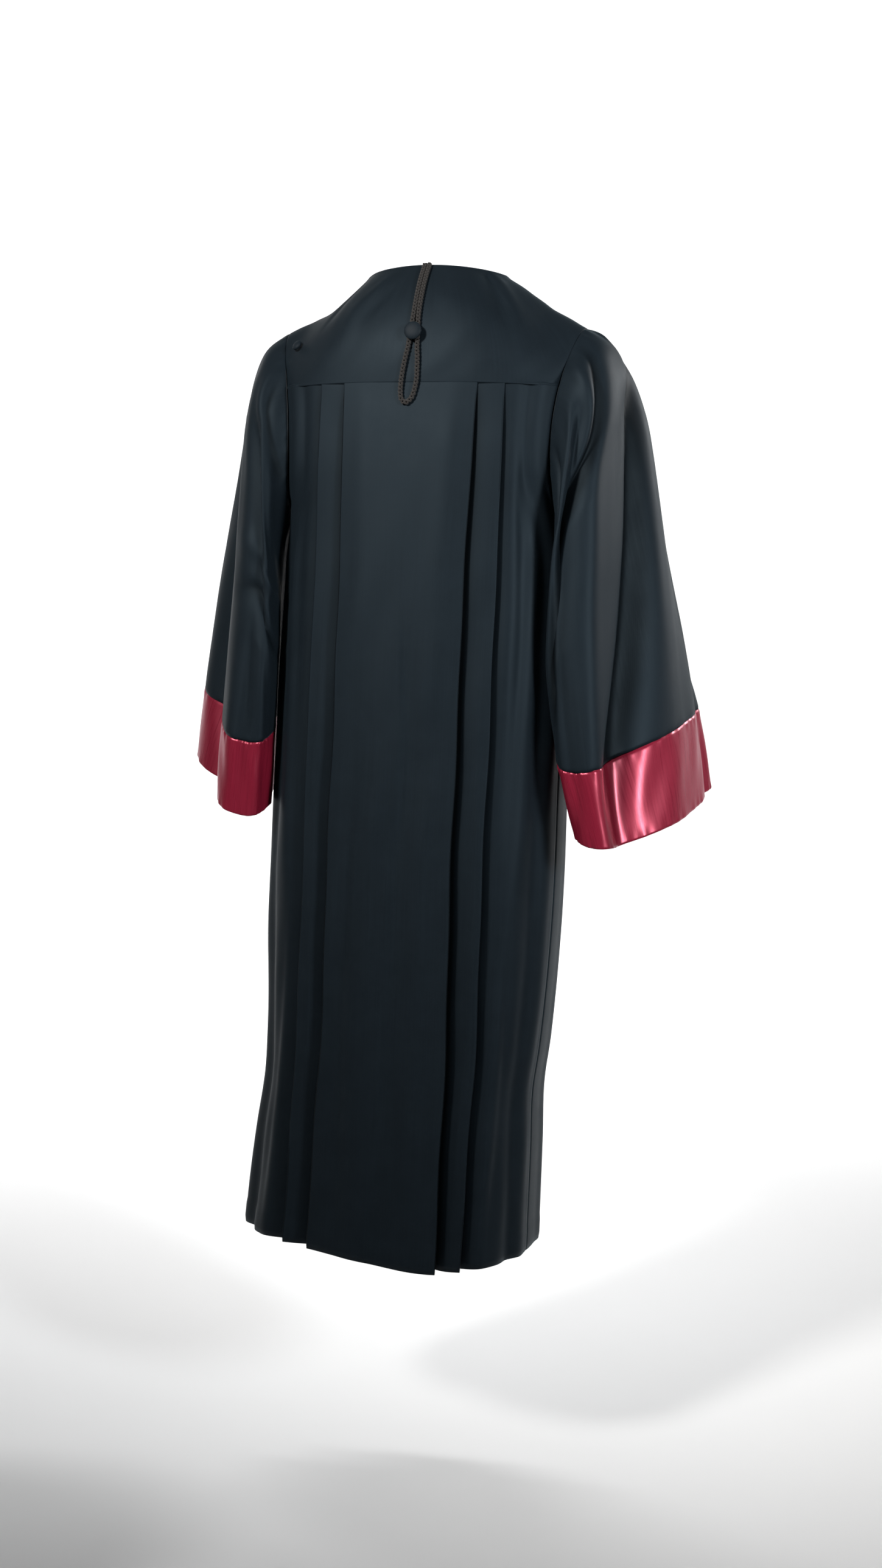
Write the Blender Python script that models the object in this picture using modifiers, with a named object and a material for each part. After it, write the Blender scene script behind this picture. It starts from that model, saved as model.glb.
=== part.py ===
"""Graduation gown, worn and filled out, with no wearer.

Metres, +Z up. The gown faces -Y, the wearer's left is +X. The origin lies midway between the two
points where the neck edge crosses the shoulder line. Cloth pieces are open surfaces lofted through
sections of the garment and given their wall by Solidify.
"""
import math
from collections import namedtuple

import bpy
import numpy as np
from mathutils import Vector

WALL = 0.0012            # cloth wall
SEAM_GAP = 0.0003        # clearance between pieces at a seam
SEAM_DROP = 0.00021      # how far a panel's top edge lies below the seam's level
SIDE_TRIM = 0.0003       # taken off each panel's side edge, which slants beside the armhole
REST_GAP = 0.0055        # how far a sleeve hangs clear of the body of the gown
TANGENT_REACH = 0.002    # an outline's direction is read from points this far to each side

# Levels, all below the shoulder points
YOKE_SEAM_Z = -0.146     # across the back
FRONT_SEAM_Z = -0.100    # where the yoke ends in front
UNDERARM_Z = -0.300
HEM_Z = -1.236
SIDE_SEAM_Y = 0.020

# Neck edge
NECK_HALF_WIDTH = 0.088
NECK_BACK_Y = 0.057
NECK_FRONT_Y = 0.0975
NECK_RISE = 0.005        # centre back stands above the shoulder points
NECK_DROP = 0.150        # centre front lies below them
NECK_DROP_POWER = 1.6
SHOULDER_HOLLOW = 0.38   # how much the yoke dips between the neck and the shoulder's end
SHOULDER_REACH = 0.070   # the dip fades out this far behind and in front of the shoulder line
YOKE_BACK_Y = 0.108      # depth of the yoke's back seam
YOKE_FRONT_Y = 0.075     # depth of its front seam
YOKE_ROUND_BACK = 1.6    # how much fuller than straight the yoke is between its edges, behind
YOKE_ROUND_FRONT = 0.7   # and in front
FRONT_SEAM_SHARE = 0.62  # share of a front's top edge that is seam; the rest is neck edge
FRONT_MIX_Z = -0.345     # a front's rows follow its top edge down to here

# Body sections: half width, depth behind and in front of the shoulder line, squareness of the
# outline, and how far the section swings to the wearer's left
Section = namedtuple("Section", "z half_width back front square sway")
SECTIONS = [
    Section(-0.100, 0.200, 0.104, 0.0777, 2.65, 0.000),
    Section(-0.146, 0.198, 0.108, 0.0970, 2.65, 0.000),
    Section(-0.215, 0.186, 0.115, 0.1120, 2.60, 0.000),
    Section(-0.300, 0.174, 0.120, 0.1200, 2.45, 0.000),
    Section(-0.345, 0.183, 0.122, 0.1225, 2.35, 0.000),
    Section(-0.485, 0.187, 0.127, 0.1250, 2.30, 0.001),
    Section(-0.630, 0.188, 0.130, 0.1260, 2.30, 0.003),
    Section(-0.740, 0.189, 0.132, 0.1270, 2.30, 0.004),
    Section(-0.820, 0.188, 0.133, 0.1270, 2.30, 0.005),
    Section(-0.960, 0.182, 0.135, 0.1280, 2.30, 0.008),
    Section(-1.020, 0.179, 0.136, 0.1290, 2.30, 0.012),
    Section(-1.100, 0.184, 0.138, 0.1320, 2.30, 0.017),
    Section(-1.236, 0.190, 0.142, 0.1360, 2.30, 0.024),
]

SWAY_AT_CENTRE = 0.1     # share of the swing at the centre lines; the sides take all of it

# The back's hem hangs unevenly: place across, from the wearer's right to the left, and lift
HemLift = namedtuple("HemLift", "across lift")
HEM_LIFTS = [
    HemLift(-0.180, 0.008), HemLift(-0.121, 0.003), HemLift(-0.085, 0.000),
    HemLift(0.000, 0.006), HemLift(0.085, 0.012), HemLift(0.121, 0.012), HemLift(0.190, 0.008),
]
HEM_LIFT_LENGTH = 0.25   # the lift fades out this far above the hem

# Rows of points down the body panels
BODY_ROWS = [-0.146, -0.180, -0.215, -0.255, -0.300, -0.345, -0.415, -0.500, -0.600,
             -0.710, -0.820, -0.920, -1.020, -1.100, -1.170, -1.236]

# Knife pleats of the back, two on each side, folded outwards over the next strip
Pleat = namedtuple("Pleat", "name edge_top edge_waist edge_hem depth dip_top dip_hem rise")
PLEATS = [
    Pleat("inner", 0.085, 0.080, 0.085, 0.025, 0.0038, 0.021, 0.85),
    Pleat("outer", 0.118, 0.120, 0.121, 0.020, 0.0038, 0.019, 1.00),
]
PLEAT_PITCH = 0.0019     # from one layer of cloth to the next at a fold
PLEAT_WAIST_Z = -0.450
SIDE_RISE_LENGTH = 0.034  # the cloth beside the last pleat comes back up over this length

# Soft folds: place round the panel from the centre (0) to the side seam (1), amount, width
SoftFold = namedtuple("SoftFold", "place height_top height_hem width")
BACK_FOLDS = [
    SoftFold(0.80, -0.0020, -0.0060, 0.050),
    SoftFold(0.90, 0.0010, 0.0030, 0.050),
]
FRONT_FOLDS = [
    SoftFold(0.16, 0.0010, 0.0080, 0.055),
    SoftFold(0.30, -0.0010, -0.0120, 0.060),
    SoftFold(0.45, 0.0015, 0.0100, 0.065),
    SoftFold(0.60, -0.0015, -0.0130, 0.060),
    SoftFold(0.76, 0.0010, 0.0070, 0.060),
]
FRONT_COLUMNS = 19
YOKE_ROWS = [0.0, 0.18, 0.36, 0.55, 0.75, 1.0]

# Sleeve stations from the armhole to the mouth, on the wearer's left: the point of each section
# at its outer line, under the arm, at the rear and at the front
Station = namedtuple("Station", "name outer under rear front")
STATIONS = [
    Station("armhole", (0.195, 0.000, -0.067), (0.174, 0.020, -0.300),
            (0.170, 0.070, -0.1835), (0.170, -0.070, -0.1835)),
    Station("shoulder_end", (0.223, -0.010, -0.083), (0.181, 0.018, -0.328),
            (0.190, 0.085, -0.200), (0.198, -0.084, -0.195)),
    Station("shoulder_turn", (0.240, -0.020, -0.109), (0.186, 0.013, -0.352),
            (0.196, 0.093, -0.236), (0.212, -0.094, -0.226)),
    Station("upper_arm", (0.253, -0.028, -0.142), (0.189, 0.006, -0.376),
            (0.197, 0.096, -0.276), (0.222, -0.102, -0.262)),
    Station("above_elbow", (0.264, -0.035, -0.203), (0.191, 0.000, -0.410),
            (0.195, 0.098, -0.330), (0.232, -0.111, -0.315)),
    Station("elbow", (0.284, -0.042, -0.338), (0.194, -0.008, -0.472),
            (0.195, 0.100, -0.430), (0.256, -0.125, -0.415)),
    Station("forearm", (0.299, -0.044, -0.442), (0.198, -0.016, -0.510),
            (0.203, 0.100, -0.520), (0.279, -0.138, -0.470)),
    Station("band_top", (0.312, -0.040, -0.540), (0.202, -0.024, -0.548),
            (0.213, 0.099, -0.600), (0.300, -0.146, -0.524)),
    Station("mouth", (0.323, -0.036, -0.640), (0.205, -0.030, -0.644),
            (0.224, 0.098, -0.697), (0.312, -0.150, -0.620)),
]
RING_SQUARE = 0.88       # below 1 a section has fuller corners than an ellipse

# How each sleeve's end hangs away from that: shifts of the same four points at the band's top and
# at the mouth, outward, backward and upward. The right arm hangs lower and further out.
Hang = namedtuple("Hang", "side corner at_band at_mouth")
HANGS = [
    Hang("left", "outer", (-0.002, 0.000, 0.014), (-0.006, 0.000, 0.030)),
    Hang("left", "under", (0.000, 0.000, 0.004), (0.000, 0.000, 0.008)),
    Hang("left", "rear", (-0.008, 0.002, 0.008), (-0.012, 0.002, 0.012)),
    Hang("left", "front", (0.000, 0.000, 0.014), (-0.004, 0.000, 0.030)),
    Hang("right", "outer", (0.008, 0.000, -0.014), (0.016, 0.000, -0.022)),
    Hang("right", "under", (0.008, 0.000, -0.008), (0.024, 0.000, -0.012)),
    Hang("right", "rear", (0.009, 0.000, -0.010), (0.026, -0.002, -0.003)),
    Hang("right", "front", (0.008, 0.000, -0.010), (0.016, 0.000, -0.014)),
]
HANG_START = 3.0         # station from which the shifts grow

SLEEVE_COLUMNS = 32
SLEEVE_ROWS = [0.0, 0.5, 1.0, 1.5, 2.0, 2.5, 3.0, 3.5, 4.0, 4.5, 5.0, 5.5, 6.0, 6.5, 7.0]
BAND_ROWS = [7.0, 7.33, 7.67, 8.0]
SEAM_ALONG = 0.005       # share of a station step that makes the gap at the band seam
SLEEVE_SET_TOP = 0.0005  # how far the sleeve starts outside the armhole, at the shoulder
SLEEVE_SET_SIDE = 0.0012  # at the back and front of the armhole
SLEEVE_SET_UNDER = 0.0026  # and under the arm, where it hangs down beside the side seam

# Sleeve folds: angle from the rear edge (0) over the outer line (90), at the top and the mouth,
# amount at both ends (ridge positive), width in degrees, and the stations between which it runs
SleeveFold = namedtuple("SleeveFold", "name angle_top angle_end top end width first last")
SLEEVE_FOLDS = [
    SleeveFold("long_valley", 74.0, 40.0, -0.010, -0.017, 15.0, 2.4, 9.0),
    SleeveFold("rear_ridge", 40.0, 12.0, 0.005, 0.006, 14.0, 1.2, 9.0),
    SleeveFold("drag_valley", 24.0, -26.0, -0.011, -0.010, 13.0, 1.6, 5.4),
    SleeveFold("outer_ridge", 96.0, 74.0, 0.003, 0.008, 16.0, 3.0, 9.0),
    SleeveFold("front_valley", 150.0, 132.0, -0.007, -0.011, 15.0, 1.6, 9.0),
    SleeveFold("front_ridge", 185.0, 165.0, 0.003, 0.005, 16.0, 1.6, 9.0),
]

# Cloth-covered buttons
BACK_BUTTON_X = -0.0040  # it and the cord sit a little to the wearer's right of the centre
BACK_BUTTON_Z = -0.086
BACK_BUTTON_RADIUS = 0.0110
BACK_BUTTON_THICKNESS = 0.0062
SHOULDER_BUTTON_RADIUS = 0.0068
SHOULDER_BUTTON_THICKNESS = 0.0052
SHOULDER_BUTTON_LIFT = 0.0018  # its rim clears the round of the shoulder
SHANK_RADIUS = 0.0015
SHOULDER_BUTTON_COLUMN = 8    # counted along the yoke from the centre back
SHOULDER_BUTTON_SHARE = 0.74  # from the neck edge to the armhole

# Braided cord: a long loop, sewn in at the neck edge, buttoned at the centre back
CORD_RADIUS = 0.0026
CORD_LIFT = WALL / 2 + SEAM_GAP + CORD_RADIUS
CORD_STEP = 0.0085
# Half of the loop's route, from the neck edge down: height and distance from the centre line
CORD_HALF_ROUTE = [
    (0.0030, 0.0030), (-0.0250, 0.0030), (-0.0500, 0.0030), (-0.0680, 0.0034),
    (-0.0860, 0.0047), (-0.1020, 0.0056), (-0.1180, 0.0078), (-0.1360, 0.0094),
    (-0.1540, 0.0090), (-0.1660, 0.0062),
]
CORD_END_Z = -0.1710
CORD_END_SWAY = 0.0060   # the loop's end hangs to the wearer's left

CLOTH_COLOUR = (0.012, 0.016, 0.019, 1.0)
SATIN_COLOUR = (0.190, 0.009, 0.024, 1.0)
CORD_COLOUR = (0.030, 0.026, 0.025, 1.0)


def clear_scene():
    for item in list(bpy.data.objects):
        bpy.data.objects.remove(item, do_unlink=True)


def make_material(name, colour, roughness):
    material = bpy.data.materials.new(name)
    material.use_nodes = True
    shader = material.node_tree.nodes["Principled BSDF"]
    shader.inputs["Base Color"].default_value = colour
    shader.inputs["Roughness"].default_value = roughness
    shader.inputs["Metallic"].default_value = 0.0
    return material


def table(rows, key, value, at):
    """Smooth interpolation of one column of a table (cubic through the rows)."""
    keys = np.array([getattr(row, key) for row in rows], float)
    values = np.array([getattr(row, value) for row in rows], float)
    order = np.argsort(keys)
    return smooth_curve(keys[order], values[order], at)


def smooth_curve(keys, values, at):
    """Cubic Hermite curve through the points, with limited slopes so that it never overshoots."""
    at = np.clip(np.asarray(at, float), keys[0], keys[-1])
    steps = np.diff(keys)
    slopes = np.diff(values, axis=0) / (steps if values.ndim == 1 else steps[:, None])
    tangents = np.zeros_like(values)
    tangents[0] = slopes[0]
    tangents[-1] = slopes[-1]
    inner = 0.5 * (slopes[:-1] + slopes[1:])
    limit = 2.0 * np.minimum(np.abs(slopes[:-1]), np.abs(slopes[1:]))
    inner = np.where(slopes[:-1] * slopes[1:] > 0, np.sign(inner) * np.minimum(np.abs(inner), limit), 0.0)
    tangents[1:-1] = inner
    i = np.clip(np.searchsorted(keys, at, side="right") - 1, 0, len(keys) - 2)
    width = keys[i + 1] - keys[i]
    t = (at - keys[i]) / width
    if values.ndim > 1:
        t = t[..., None]
        width = width[..., None]
    return ((2 * t**3 - 3 * t**2 + 1) * values[i] + (t**3 - 2 * t**2 + t) * width * tangents[i]
            + (-2 * t**3 + 3 * t**2) * values[i + 1] + (t**3 - t**2) * width * tangents[i + 1])


def ring(outer, under, rear, front, angle, square=1.0):
    """Closed smooth loop through four points: a cosine and sine wave and one doubled cosine."""
    angle = np.asarray(angle, float)[..., None]
    cosine = np.sign(np.cos(angle)) * np.abs(np.cos(angle)) ** square
    sine = np.sign(np.sin(angle)) * np.abs(np.sin(angle)) ** square
    outer, under, rear, front = (np.asarray(p, float) for p in (outer, under, rear, front))
    centre = (outer + under + rear + front) / 4
    along = (rear - front) / 2
    across = (outer - under) / 2
    pinch = (rear + front - outer - under) / 4
    return centre + along * cosine + across * sine + pinch * np.cos(2 * angle)


def armhole_point(angle):
    hole = STATIONS[0]
    return ring(hole.outer, hole.under, hole.rear, hole.front, angle)


def armhole_angle(z, back):
    hole = STATIONS[0]
    middle = (hole.outer[2] + hole.under[2]) / 2
    half = (hole.outer[2] - hole.under[2]) / 2
    angle = math.asin(max(-1.0, min(1.0, (z - middle) / half)))
    return angle if back else math.pi - angle


def body_edge(z, back):
    """Side edge of a body panel at a level: on the armhole, or on the side seam below it."""
    if z >= UNDERARM_Z:
        return armhole_point(armhole_angle(z, back))
    half_width, _, square = section_at(z, back)
    share = SIDE_SEAM_Y / table(SECTIONS, "z", "back", z)
    return np.array([half_width * (1 - share ** square) ** (1 / square), SIDE_SEAM_Y, z])


def section_at(z, back):
    """Half width, depth and squareness of the outline at a level.

    Beside the armhole the half width is the one whose outline passes through the armhole's edge.
    """
    depth = float(table(SECTIONS, "z", "back" if back else "front", z))
    square = float(table(SECTIONS, "z", "square", z))
    if z > UNDERARM_Z:
        x, y, _ = armhole_point(armhole_angle(z, back))
        y = y if back else -y
        share = (max(y, 0.0) / depth) ** square
        return x / (1 - share) ** (1 / square), depth, square
    return float(table(SECTIONS, "z", "half_width", z)), depth, square


def outline(z, back, samples=240):
    """Half of the outline at a level from the centre to the panel's side edge, and its lengths."""
    half_width, depth, square = section_at(z, back)
    turn = np.linspace(0, math.pi / 2, samples)
    x = half_width * np.sin(turn) ** (2 / square)
    y = depth * np.cos(turn) ** (2 / square) * (1 if back else -1)
    edge = body_edge(z, back)
    if z > UNDERARM_Z:
        keep = x < edge[0] - 1e-6
        keep &= (y > edge[1]) if back else (y < edge[1])
    elif back:
        keep = y > SIDE_SEAM_Y
    else:
        wrap_depth = float(table(SECTIONS, "z", "back", z))
        extra = turn[1:]
        wrap_x = half_width * np.cos(extra) ** (2 / square)
        wrap_y = wrap_depth * np.sin(extra) ** (2 / square)
        inside = wrap_y < SIDE_SEAM_Y
        x = np.concatenate([x, wrap_x[inside]])
        y = np.concatenate([y, wrap_y[inside]])
        keep = np.ones(len(x), bool)
    points = np.stack([x[keep], y[keep]], -1)
    points = np.vstack([points, edge[:2]])
    lengths = np.concatenate([[0], np.cumsum(np.linalg.norm(np.diff(points, axis=0), axis=1))])
    return points, lengths


def on_outline(points, lengths, along, rise):
    """Points at a length along the outline, moved out of it by a rise."""
    x = np.interp(along, lengths, points[:, 0])
    y = np.interp(along, lengths, points[:, 1])
    ahead = along + TANGENT_REACH
    behind = along - TANGENT_REACH
    dx = np.interp(ahead, lengths, points[:, 0]) - np.interp(behind, lengths, points[:, 0])
    dy = np.interp(ahead, lengths, points[:, 1]) - np.interp(behind, lengths, points[:, 1])
    size = np.maximum(np.hypot(dx, dy), 1e-9)
    turn = 1.0 if points[0, 1] > 0 else -1.0
    return x - turn * dy / size * rise, y + turn * dx / size * rise


def fold_rise(folds, place, z):
    """Height of the soft folds at a place round the panel."""
    down = (YOKE_SEAM_Z - z) / (YOKE_SEAM_Z - HEM_Z)
    total = 0.0
    for fold in folds:
        height = fold.height_top + (fold.height_hem - fold.height_top) * max(down, 0.0)
        total += height * np.exp(-((place - fold.place) / fold.width) ** 2)
    return total


def pleat_edge(pleat, z):
    keys = np.array([HEM_Z, PLEAT_WAIST_Z, YOKE_SEAM_Z])
    return float(smooth_curve(keys, np.array([pleat.edge_hem, pleat.edge_waist, pleat.edge_top]), z))


def pleat_dip(pleat, z):
    """How deep the strip starts below the fold that covers it: it opens fast below the yoke."""
    down = min(max((YOKE_SEAM_Z - z) / (YOKE_SEAM_Z - HEM_Z), 0.0), 1.0)
    return pleat.dip_top + (pleat.dip_hem - pleat.dip_top) * down ** 0.65


def back_half_path(z, length):
    """The pleated back from the centre to its side edge, as lengths along and rises."""
    path = []
    start = 0.0
    level = 0.0
    first, second = PLEATS
    for pleat, following in ((first, second), (second, None)):
        edge = pleat_edge(pleat, z)
        dip = pleat_dip(pleat, z)
        under = edge - pleat.depth
        edge_level = level * (1 - pleat.rise)
        shares = (0.0, 0.3, 0.6, 0.85, 1.0) if start == 0.0 else (0.35, 0.7, 1.0)
        for share in shares:
            along = start + (edge - start) * share
            path.append((along, level + (edge_level - level) * share))
        upper = level + (edge_level - level) * (under - start) / (edge - start)
        path.append((edge, edge_level - PLEAT_PITCH))
        path.append((under, upper - dip / 2))
        path.append((under, upper - dip / 2 - PLEAT_PITCH))
        path.append((edge, edge_level - dip))
        start = edge
        level = edge_level - dip
    for share in (0.10, 0.24, 0.40, 0.56, 0.70, 0.82, 0.92, 1.0):
        along = start + (length - start) * share
        fade = max(0.0, 1 - (along - start) / SIDE_RISE_LENGTH)
        path.append((along, level * fade ** 1.3))
    return np.array(path)


def add_sheet(name, grid, material, closed=False, flip=False, thickness=WALL):
    """Open surface through a grid of points, given its wall by Solidify."""
    rows, columns = grid.shape[:2]
    faces = []
    for r in range(rows - 1):
        for c in range(columns if closed else columns - 1):
            nxt = (c + 1) % columns
            face = (r * columns + c, r * columns + nxt, (r + 1) * columns + nxt, (r + 1) * columns + c)
            faces.append(face[::-1] if flip else face)
    mesh = bpy.data.meshes.new(name)
    mesh.from_pydata([tuple(p) for p in grid.reshape(-1, 3)], [], faces)
    mesh.materials.append(material)
    mesh.shade_smooth()
    mesh.set_sharp_from_angle(angle=math.radians(50))
    item = bpy.data.objects.new(name, mesh)
    GOWN.objects.link(item)
    wall = item.modifiers.new("wall", "SOLIDIFY")
    wall.thickness = thickness
    wall.offset = 0.0
    wall.use_even_offset = True
    return item


def sway_at(x, z):
    """Sideways swing of the gown at a point: all of it at the sides, part at the centre lines."""
    swing = table(SECTIONS, "z", "sway", z)
    share = np.minimum((np.asarray(x) / table(SECTIONS, "z", "half_width", z)) ** 2, 1.0)
    return swing * (SWAY_AT_CENTRE + (1 - SWAY_AT_CENTRE) * share)


def hem_lift(x, z):
    across = np.array([row.across for row in HEM_LIFTS])
    lift = np.array([row.lift for row in HEM_LIFTS])
    near = np.clip(1 - (z - HEM_Z) / HEM_LIFT_LENGTH, 0, 1)
    return smooth_curve(across, lift, x) * near


def make_back():
    rows = []
    levels = list(BODY_ROWS)
    levels[0] -= SEAM_DROP
    for z in levels:
        points, lengths = outline(z, True)
        total = lengths[-1] - SIDE_TRIM
        path = back_half_path(z, total)
        rise = path[:, 1] + fold_rise(BACK_FOLDS, path[:, 0] / total, z)
        rise[-1] = 0.0
        x, y = on_outline(points, lengths, path[:, 0], rise)
        x[0] = 0.0
        right = np.stack([-x[:0:-1], y[:0:-1], np.full(len(x) - 1, z)], -1)
        left = np.stack([x, y, np.full(len(x), z)], -1)
        row = np.vstack([right, left])
        row[:, 2] += hem_lift(row[:, 0], z)
        row[:, 0] += sway_at(row[:, 0], z)
        rows.append(row)
    return add_sheet("back_panel", np.array(rows), CLOTH)


def neck_edge(turn):
    """Neck edge on the wearer's left: 0 at the centre back, pi at the centre front."""
    turn = np.asarray(turn, float)
    forward = np.maximum(-np.cos(turn), 0.0)
    behind = np.maximum(np.cos(turn), 0.0)
    x = NECK_HALF_WIDTH * np.sin(turn)
    y = NECK_BACK_Y * behind - NECK_FRONT_Y * forward
    z = NECK_RISE * behind ** 2 - NECK_DROP * forward ** NECK_DROP_POWER
    return np.stack([x, y, z], -1)


def neck_turn_at(z):
    return math.pi - math.acos((-z / NECK_DROP) ** (1 / NECK_DROP_POWER))


def front_top(share):
    """Top edge of a front from the armhole (0) to the centre front (1): yoke seam, then neck."""
    corner = armhole_point(armhole_angle(FRONT_SEAM_Z, False))
    end_turn = neck_turn_at(FRONT_SEAM_Z)
    if share <= FRONT_SEAM_SHARE:
        points, lengths = outline(FRONT_SEAM_Z, False)
        neck_x = float(neck_edge(end_turn)[0])
        neck_along = float(np.interp(neck_x, points[:, 0], lengths))
        along = lengths[-1] + (neck_along - lengths[-1]) * share / FRONT_SEAM_SHARE
        x, y = on_outline(points, lengths, np.array([along]), 0.0)
        return np.array([x[0], y[0], FRONT_SEAM_Z]) if share > 0 else corner
    past_seam = (share - FRONT_SEAM_SHARE) / (1 - FRONT_SEAM_SHARE)
    return neck_edge(end_turn + (math.pi - end_turn) * past_seam)


def make_front(name, side):
    """A front from its side seam (first column) to the centre front (last column)."""
    shares = np.linspace(0, 1, FRONT_COLUMNS)
    top = np.array([front_top(s) for s in shares])
    top[:, 2] -= SEAM_DROP
    rows = [top]
    for z in [-0.150, -0.185] + BODY_ROWS[2:]:
        row = []
        for share, start in zip(shares, top):
            level = z
            if z > FRONT_MIX_Z:
                stretch = (FRONT_MIX_Z - start[2]) / (FRONT_MIX_Z - FRONT_SEAM_Z)
                level = start[2] + (z - FRONT_SEAM_Z) * stretch
            points, lengths = outline(level, False)
            total = lengths[-1] - SIDE_TRIM
            along = SEAM_GAP / 2 + (total - SEAM_GAP / 2) * (1 - share)
            rise = fold_rise(FRONT_FOLDS, 1 - share, level) * (0.0 if share in (0.0, 1.0) else 1.0)
            x, y = on_outline(points, lengths, np.array([along]), rise)
            row.append((x[0], y[0], level))
        rows.append(np.array(row))
    grid = np.array(rows)
    grid[:, -1, 0] = SEAM_GAP / 2
    for row in grid:
        row[:, 0] *= side
        seam_lift = np.linspace(1, 0, FRONT_COLUMNS) ** 2 * hem_lift(row[:, 0], row[:, 2])
        row[:, 0] += sway_at(row[:, 0], row[:, 2])
        row[:, 2] += seam_lift
    return add_sheet(name, grid, CLOTH, flip=side > 0)


def yoke_half():
    """Neck edge points and outer edge points of the yoke from the centre back to the front seam."""
    points, lengths = outline(YOKE_SEAM_Z, True)
    back_share = np.array([0.0, 0.14, 0.28, 0.42, 0.56, 0.70, 0.84])
    x, y = on_outline(points, lengths, back_share * lengths[-1], 0.0)
    outer = [np.array([x[i], y[i], YOKE_SEAM_Z + SEAM_GAP / 2]) for i in range(len(x))]
    first = armhole_angle(YOKE_SEAM_Z + SEAM_GAP / 2, True)
    last = armhole_angle(FRONT_SEAM_Z + SEAM_GAP / 2, False)
    for angle in np.linspace(first, last, 11):
        outer.append(armhole_point(angle))
    for share in (0.3, 0.6, 1.0):
        point = front_top(FRONT_SEAM_SHARE * share)
        outer.append(point + np.array([0, 0, SEAM_GAP / 2]))
    outer = np.array(outer)
    end_turn = neck_turn_at(FRONT_SEAM_Z + SEAM_GAP / 2)
    turns = smooth_curve(np.array([0.0, 6.0, 12.0, 20.0]),
                         np.array([0.0, 0.80, 1.62, end_turn - 0.12]), np.arange(len(outer), dtype=float))
    return neck_edge(turns), outer


def yoke_surface(inner, outer, shares):
    """Yoke from the neck edge (0) to the outer edge (1); the back curves out below the neck."""
    count = len(outer)
    behind = np.clip(outer[:, 1] / YOKE_BACK_Y, 0, 1)
    ahead = np.clip(-outer[:, 1] / YOKE_FRONT_Y, 0, 1)
    power = (1.0 + YOKE_ROUND_BACK * behind ** 2 + YOKE_ROUND_FRONT * ahead)[None, :]
    share = np.asarray(shares)[:, None]
    flat = 1 - (1 - share) ** power
    over = np.clip(1 - np.abs(outer[:, 1]) / SHOULDER_REACH, 0, 1)[None, :]
    down = share + SHOULDER_HOLLOW * over * np.sin(math.pi * share) * (1 - share)
    grid = np.empty((len(shares), count, 3))
    for axis in (0, 1):
        grid[:, :, axis] = inner[None, :, axis] + (outer[:, axis] - inner[:, axis])[None, :] * flat
    grid[:, :, 2] = inner[None, :, 2] + (outer[:, 2] - inner[:, 2])[None, :] * down
    return grid


def yoke_place(column, share):
    """Point and outward normal on the faces of the yoke's left half."""
    inner, outer = yoke_half()
    row = max(i for i, edge in enumerate(YOKE_ROWS) if edge <= share)
    grid = yoke_surface(inner, outer, YOKE_ROWS[row:row + 2])
    part_way = (share - YOKE_ROWS[row]) / (YOKE_ROWS[row + 1] - YOKE_ROWS[row])
    place = Vector(grid[0, column] * (1 - part_way) + grid[1, column] * part_way)
    down = Vector(grid[1, column] - grid[0, column])
    if column == 0:
        round_neck = Vector((1.0, 0.0, 0.0))
    else:
        round_neck = Vector(grid[0, column + 1] - grid[0, column - 1])
    return place, round_neck.cross(down).normalized()


def make_yoke():
    inner, outer = yoke_half()
    half = yoke_surface(inner, outer, YOKE_ROWS)
    other = half[:, :0:-1].copy()
    other[:, :, 0] *= -1
    return add_sheet("yoke", np.concatenate([other, half], axis=1), CLOTH)


def sleeve_ring(along, side):
    """Section of a sleeve at a place along the stations, drawn on the wearer's left."""
    keys = np.arange(len(STATIONS), dtype=float)
    band = len(STATIONS) - 2.0
    toward_band = min(max((along - HANG_START) / (band - HANG_START), 0.0), 1.0)
    toward_mouth = max(along - band, 0.0)
    corners = []
    for hang in HANGS:
        if hang.side != ("left" if side > 0 else "right"):
            continue
        values = np.array([getattr(station, hang.corner) for station in STATIONS])
        at_band = np.array(hang.at_band)
        shift = at_band * toward_band ** 2 + (np.array(hang.at_mouth) - at_band) * toward_mouth
        corners.append(smooth_curve(keys, values, np.array(along)) + shift)
    angles = np.arange(SLEEVE_COLUMNS) * 2 * math.pi / SLEEVE_COLUMNS
    square = 1.0 + (RING_SQUARE - 1.0) * min(along, 1.0)
    return ring(*corners, angles, square), angles


def sleeve_fold(angles, along):
    """Height of the sleeve's folds round one section."""
    total = np.zeros_like(angles)
    for fold in SLEEVE_FOLDS:
        if not fold.first <= along <= fold.last:
            continue
        share = min((along - fold.first) / (8.0 - fold.first), 1.0)
        grow = min(1.0, (along - fold.first) / 0.8)
        fade = min(1.0, (fold.last - along) / 0.8)
        middle = math.radians(fold.angle_top + (fold.angle_end - fold.angle_top) * share)
        height = (fold.top + (fold.end - fold.top) * share) * grow * fade
        away = (angles - middle + math.pi) % (2 * math.pi) - math.pi
        total += height * np.exp(-(away / math.radians(fold.width)) ** 2)
    return total


def keep_off_body(points, along, side):
    """Moves the points of a sleeve out to where they clear the body of the gown."""
    clear = REST_GAP * min(1.0, along / 0.5)
    for p in points:
        back = p[1] >= 0
        half_width, depth, square = section_at(min(p[2], YOKE_SEAM_Z), back)
        sway = side * float(sway_at(p[0], p[2]))
        x = p[0] - sway
        reach = ((abs(x) / half_width) ** square + (abs(p[1]) / depth) ** square) ** (1 / square)
        wanted = 1 + clear / math.hypot(x, p[1])
        if reach < wanted and along > 0.2:
            p[0] = x * wanted / reach + sway
            p[1] *= wanted / reach
    return points


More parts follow.
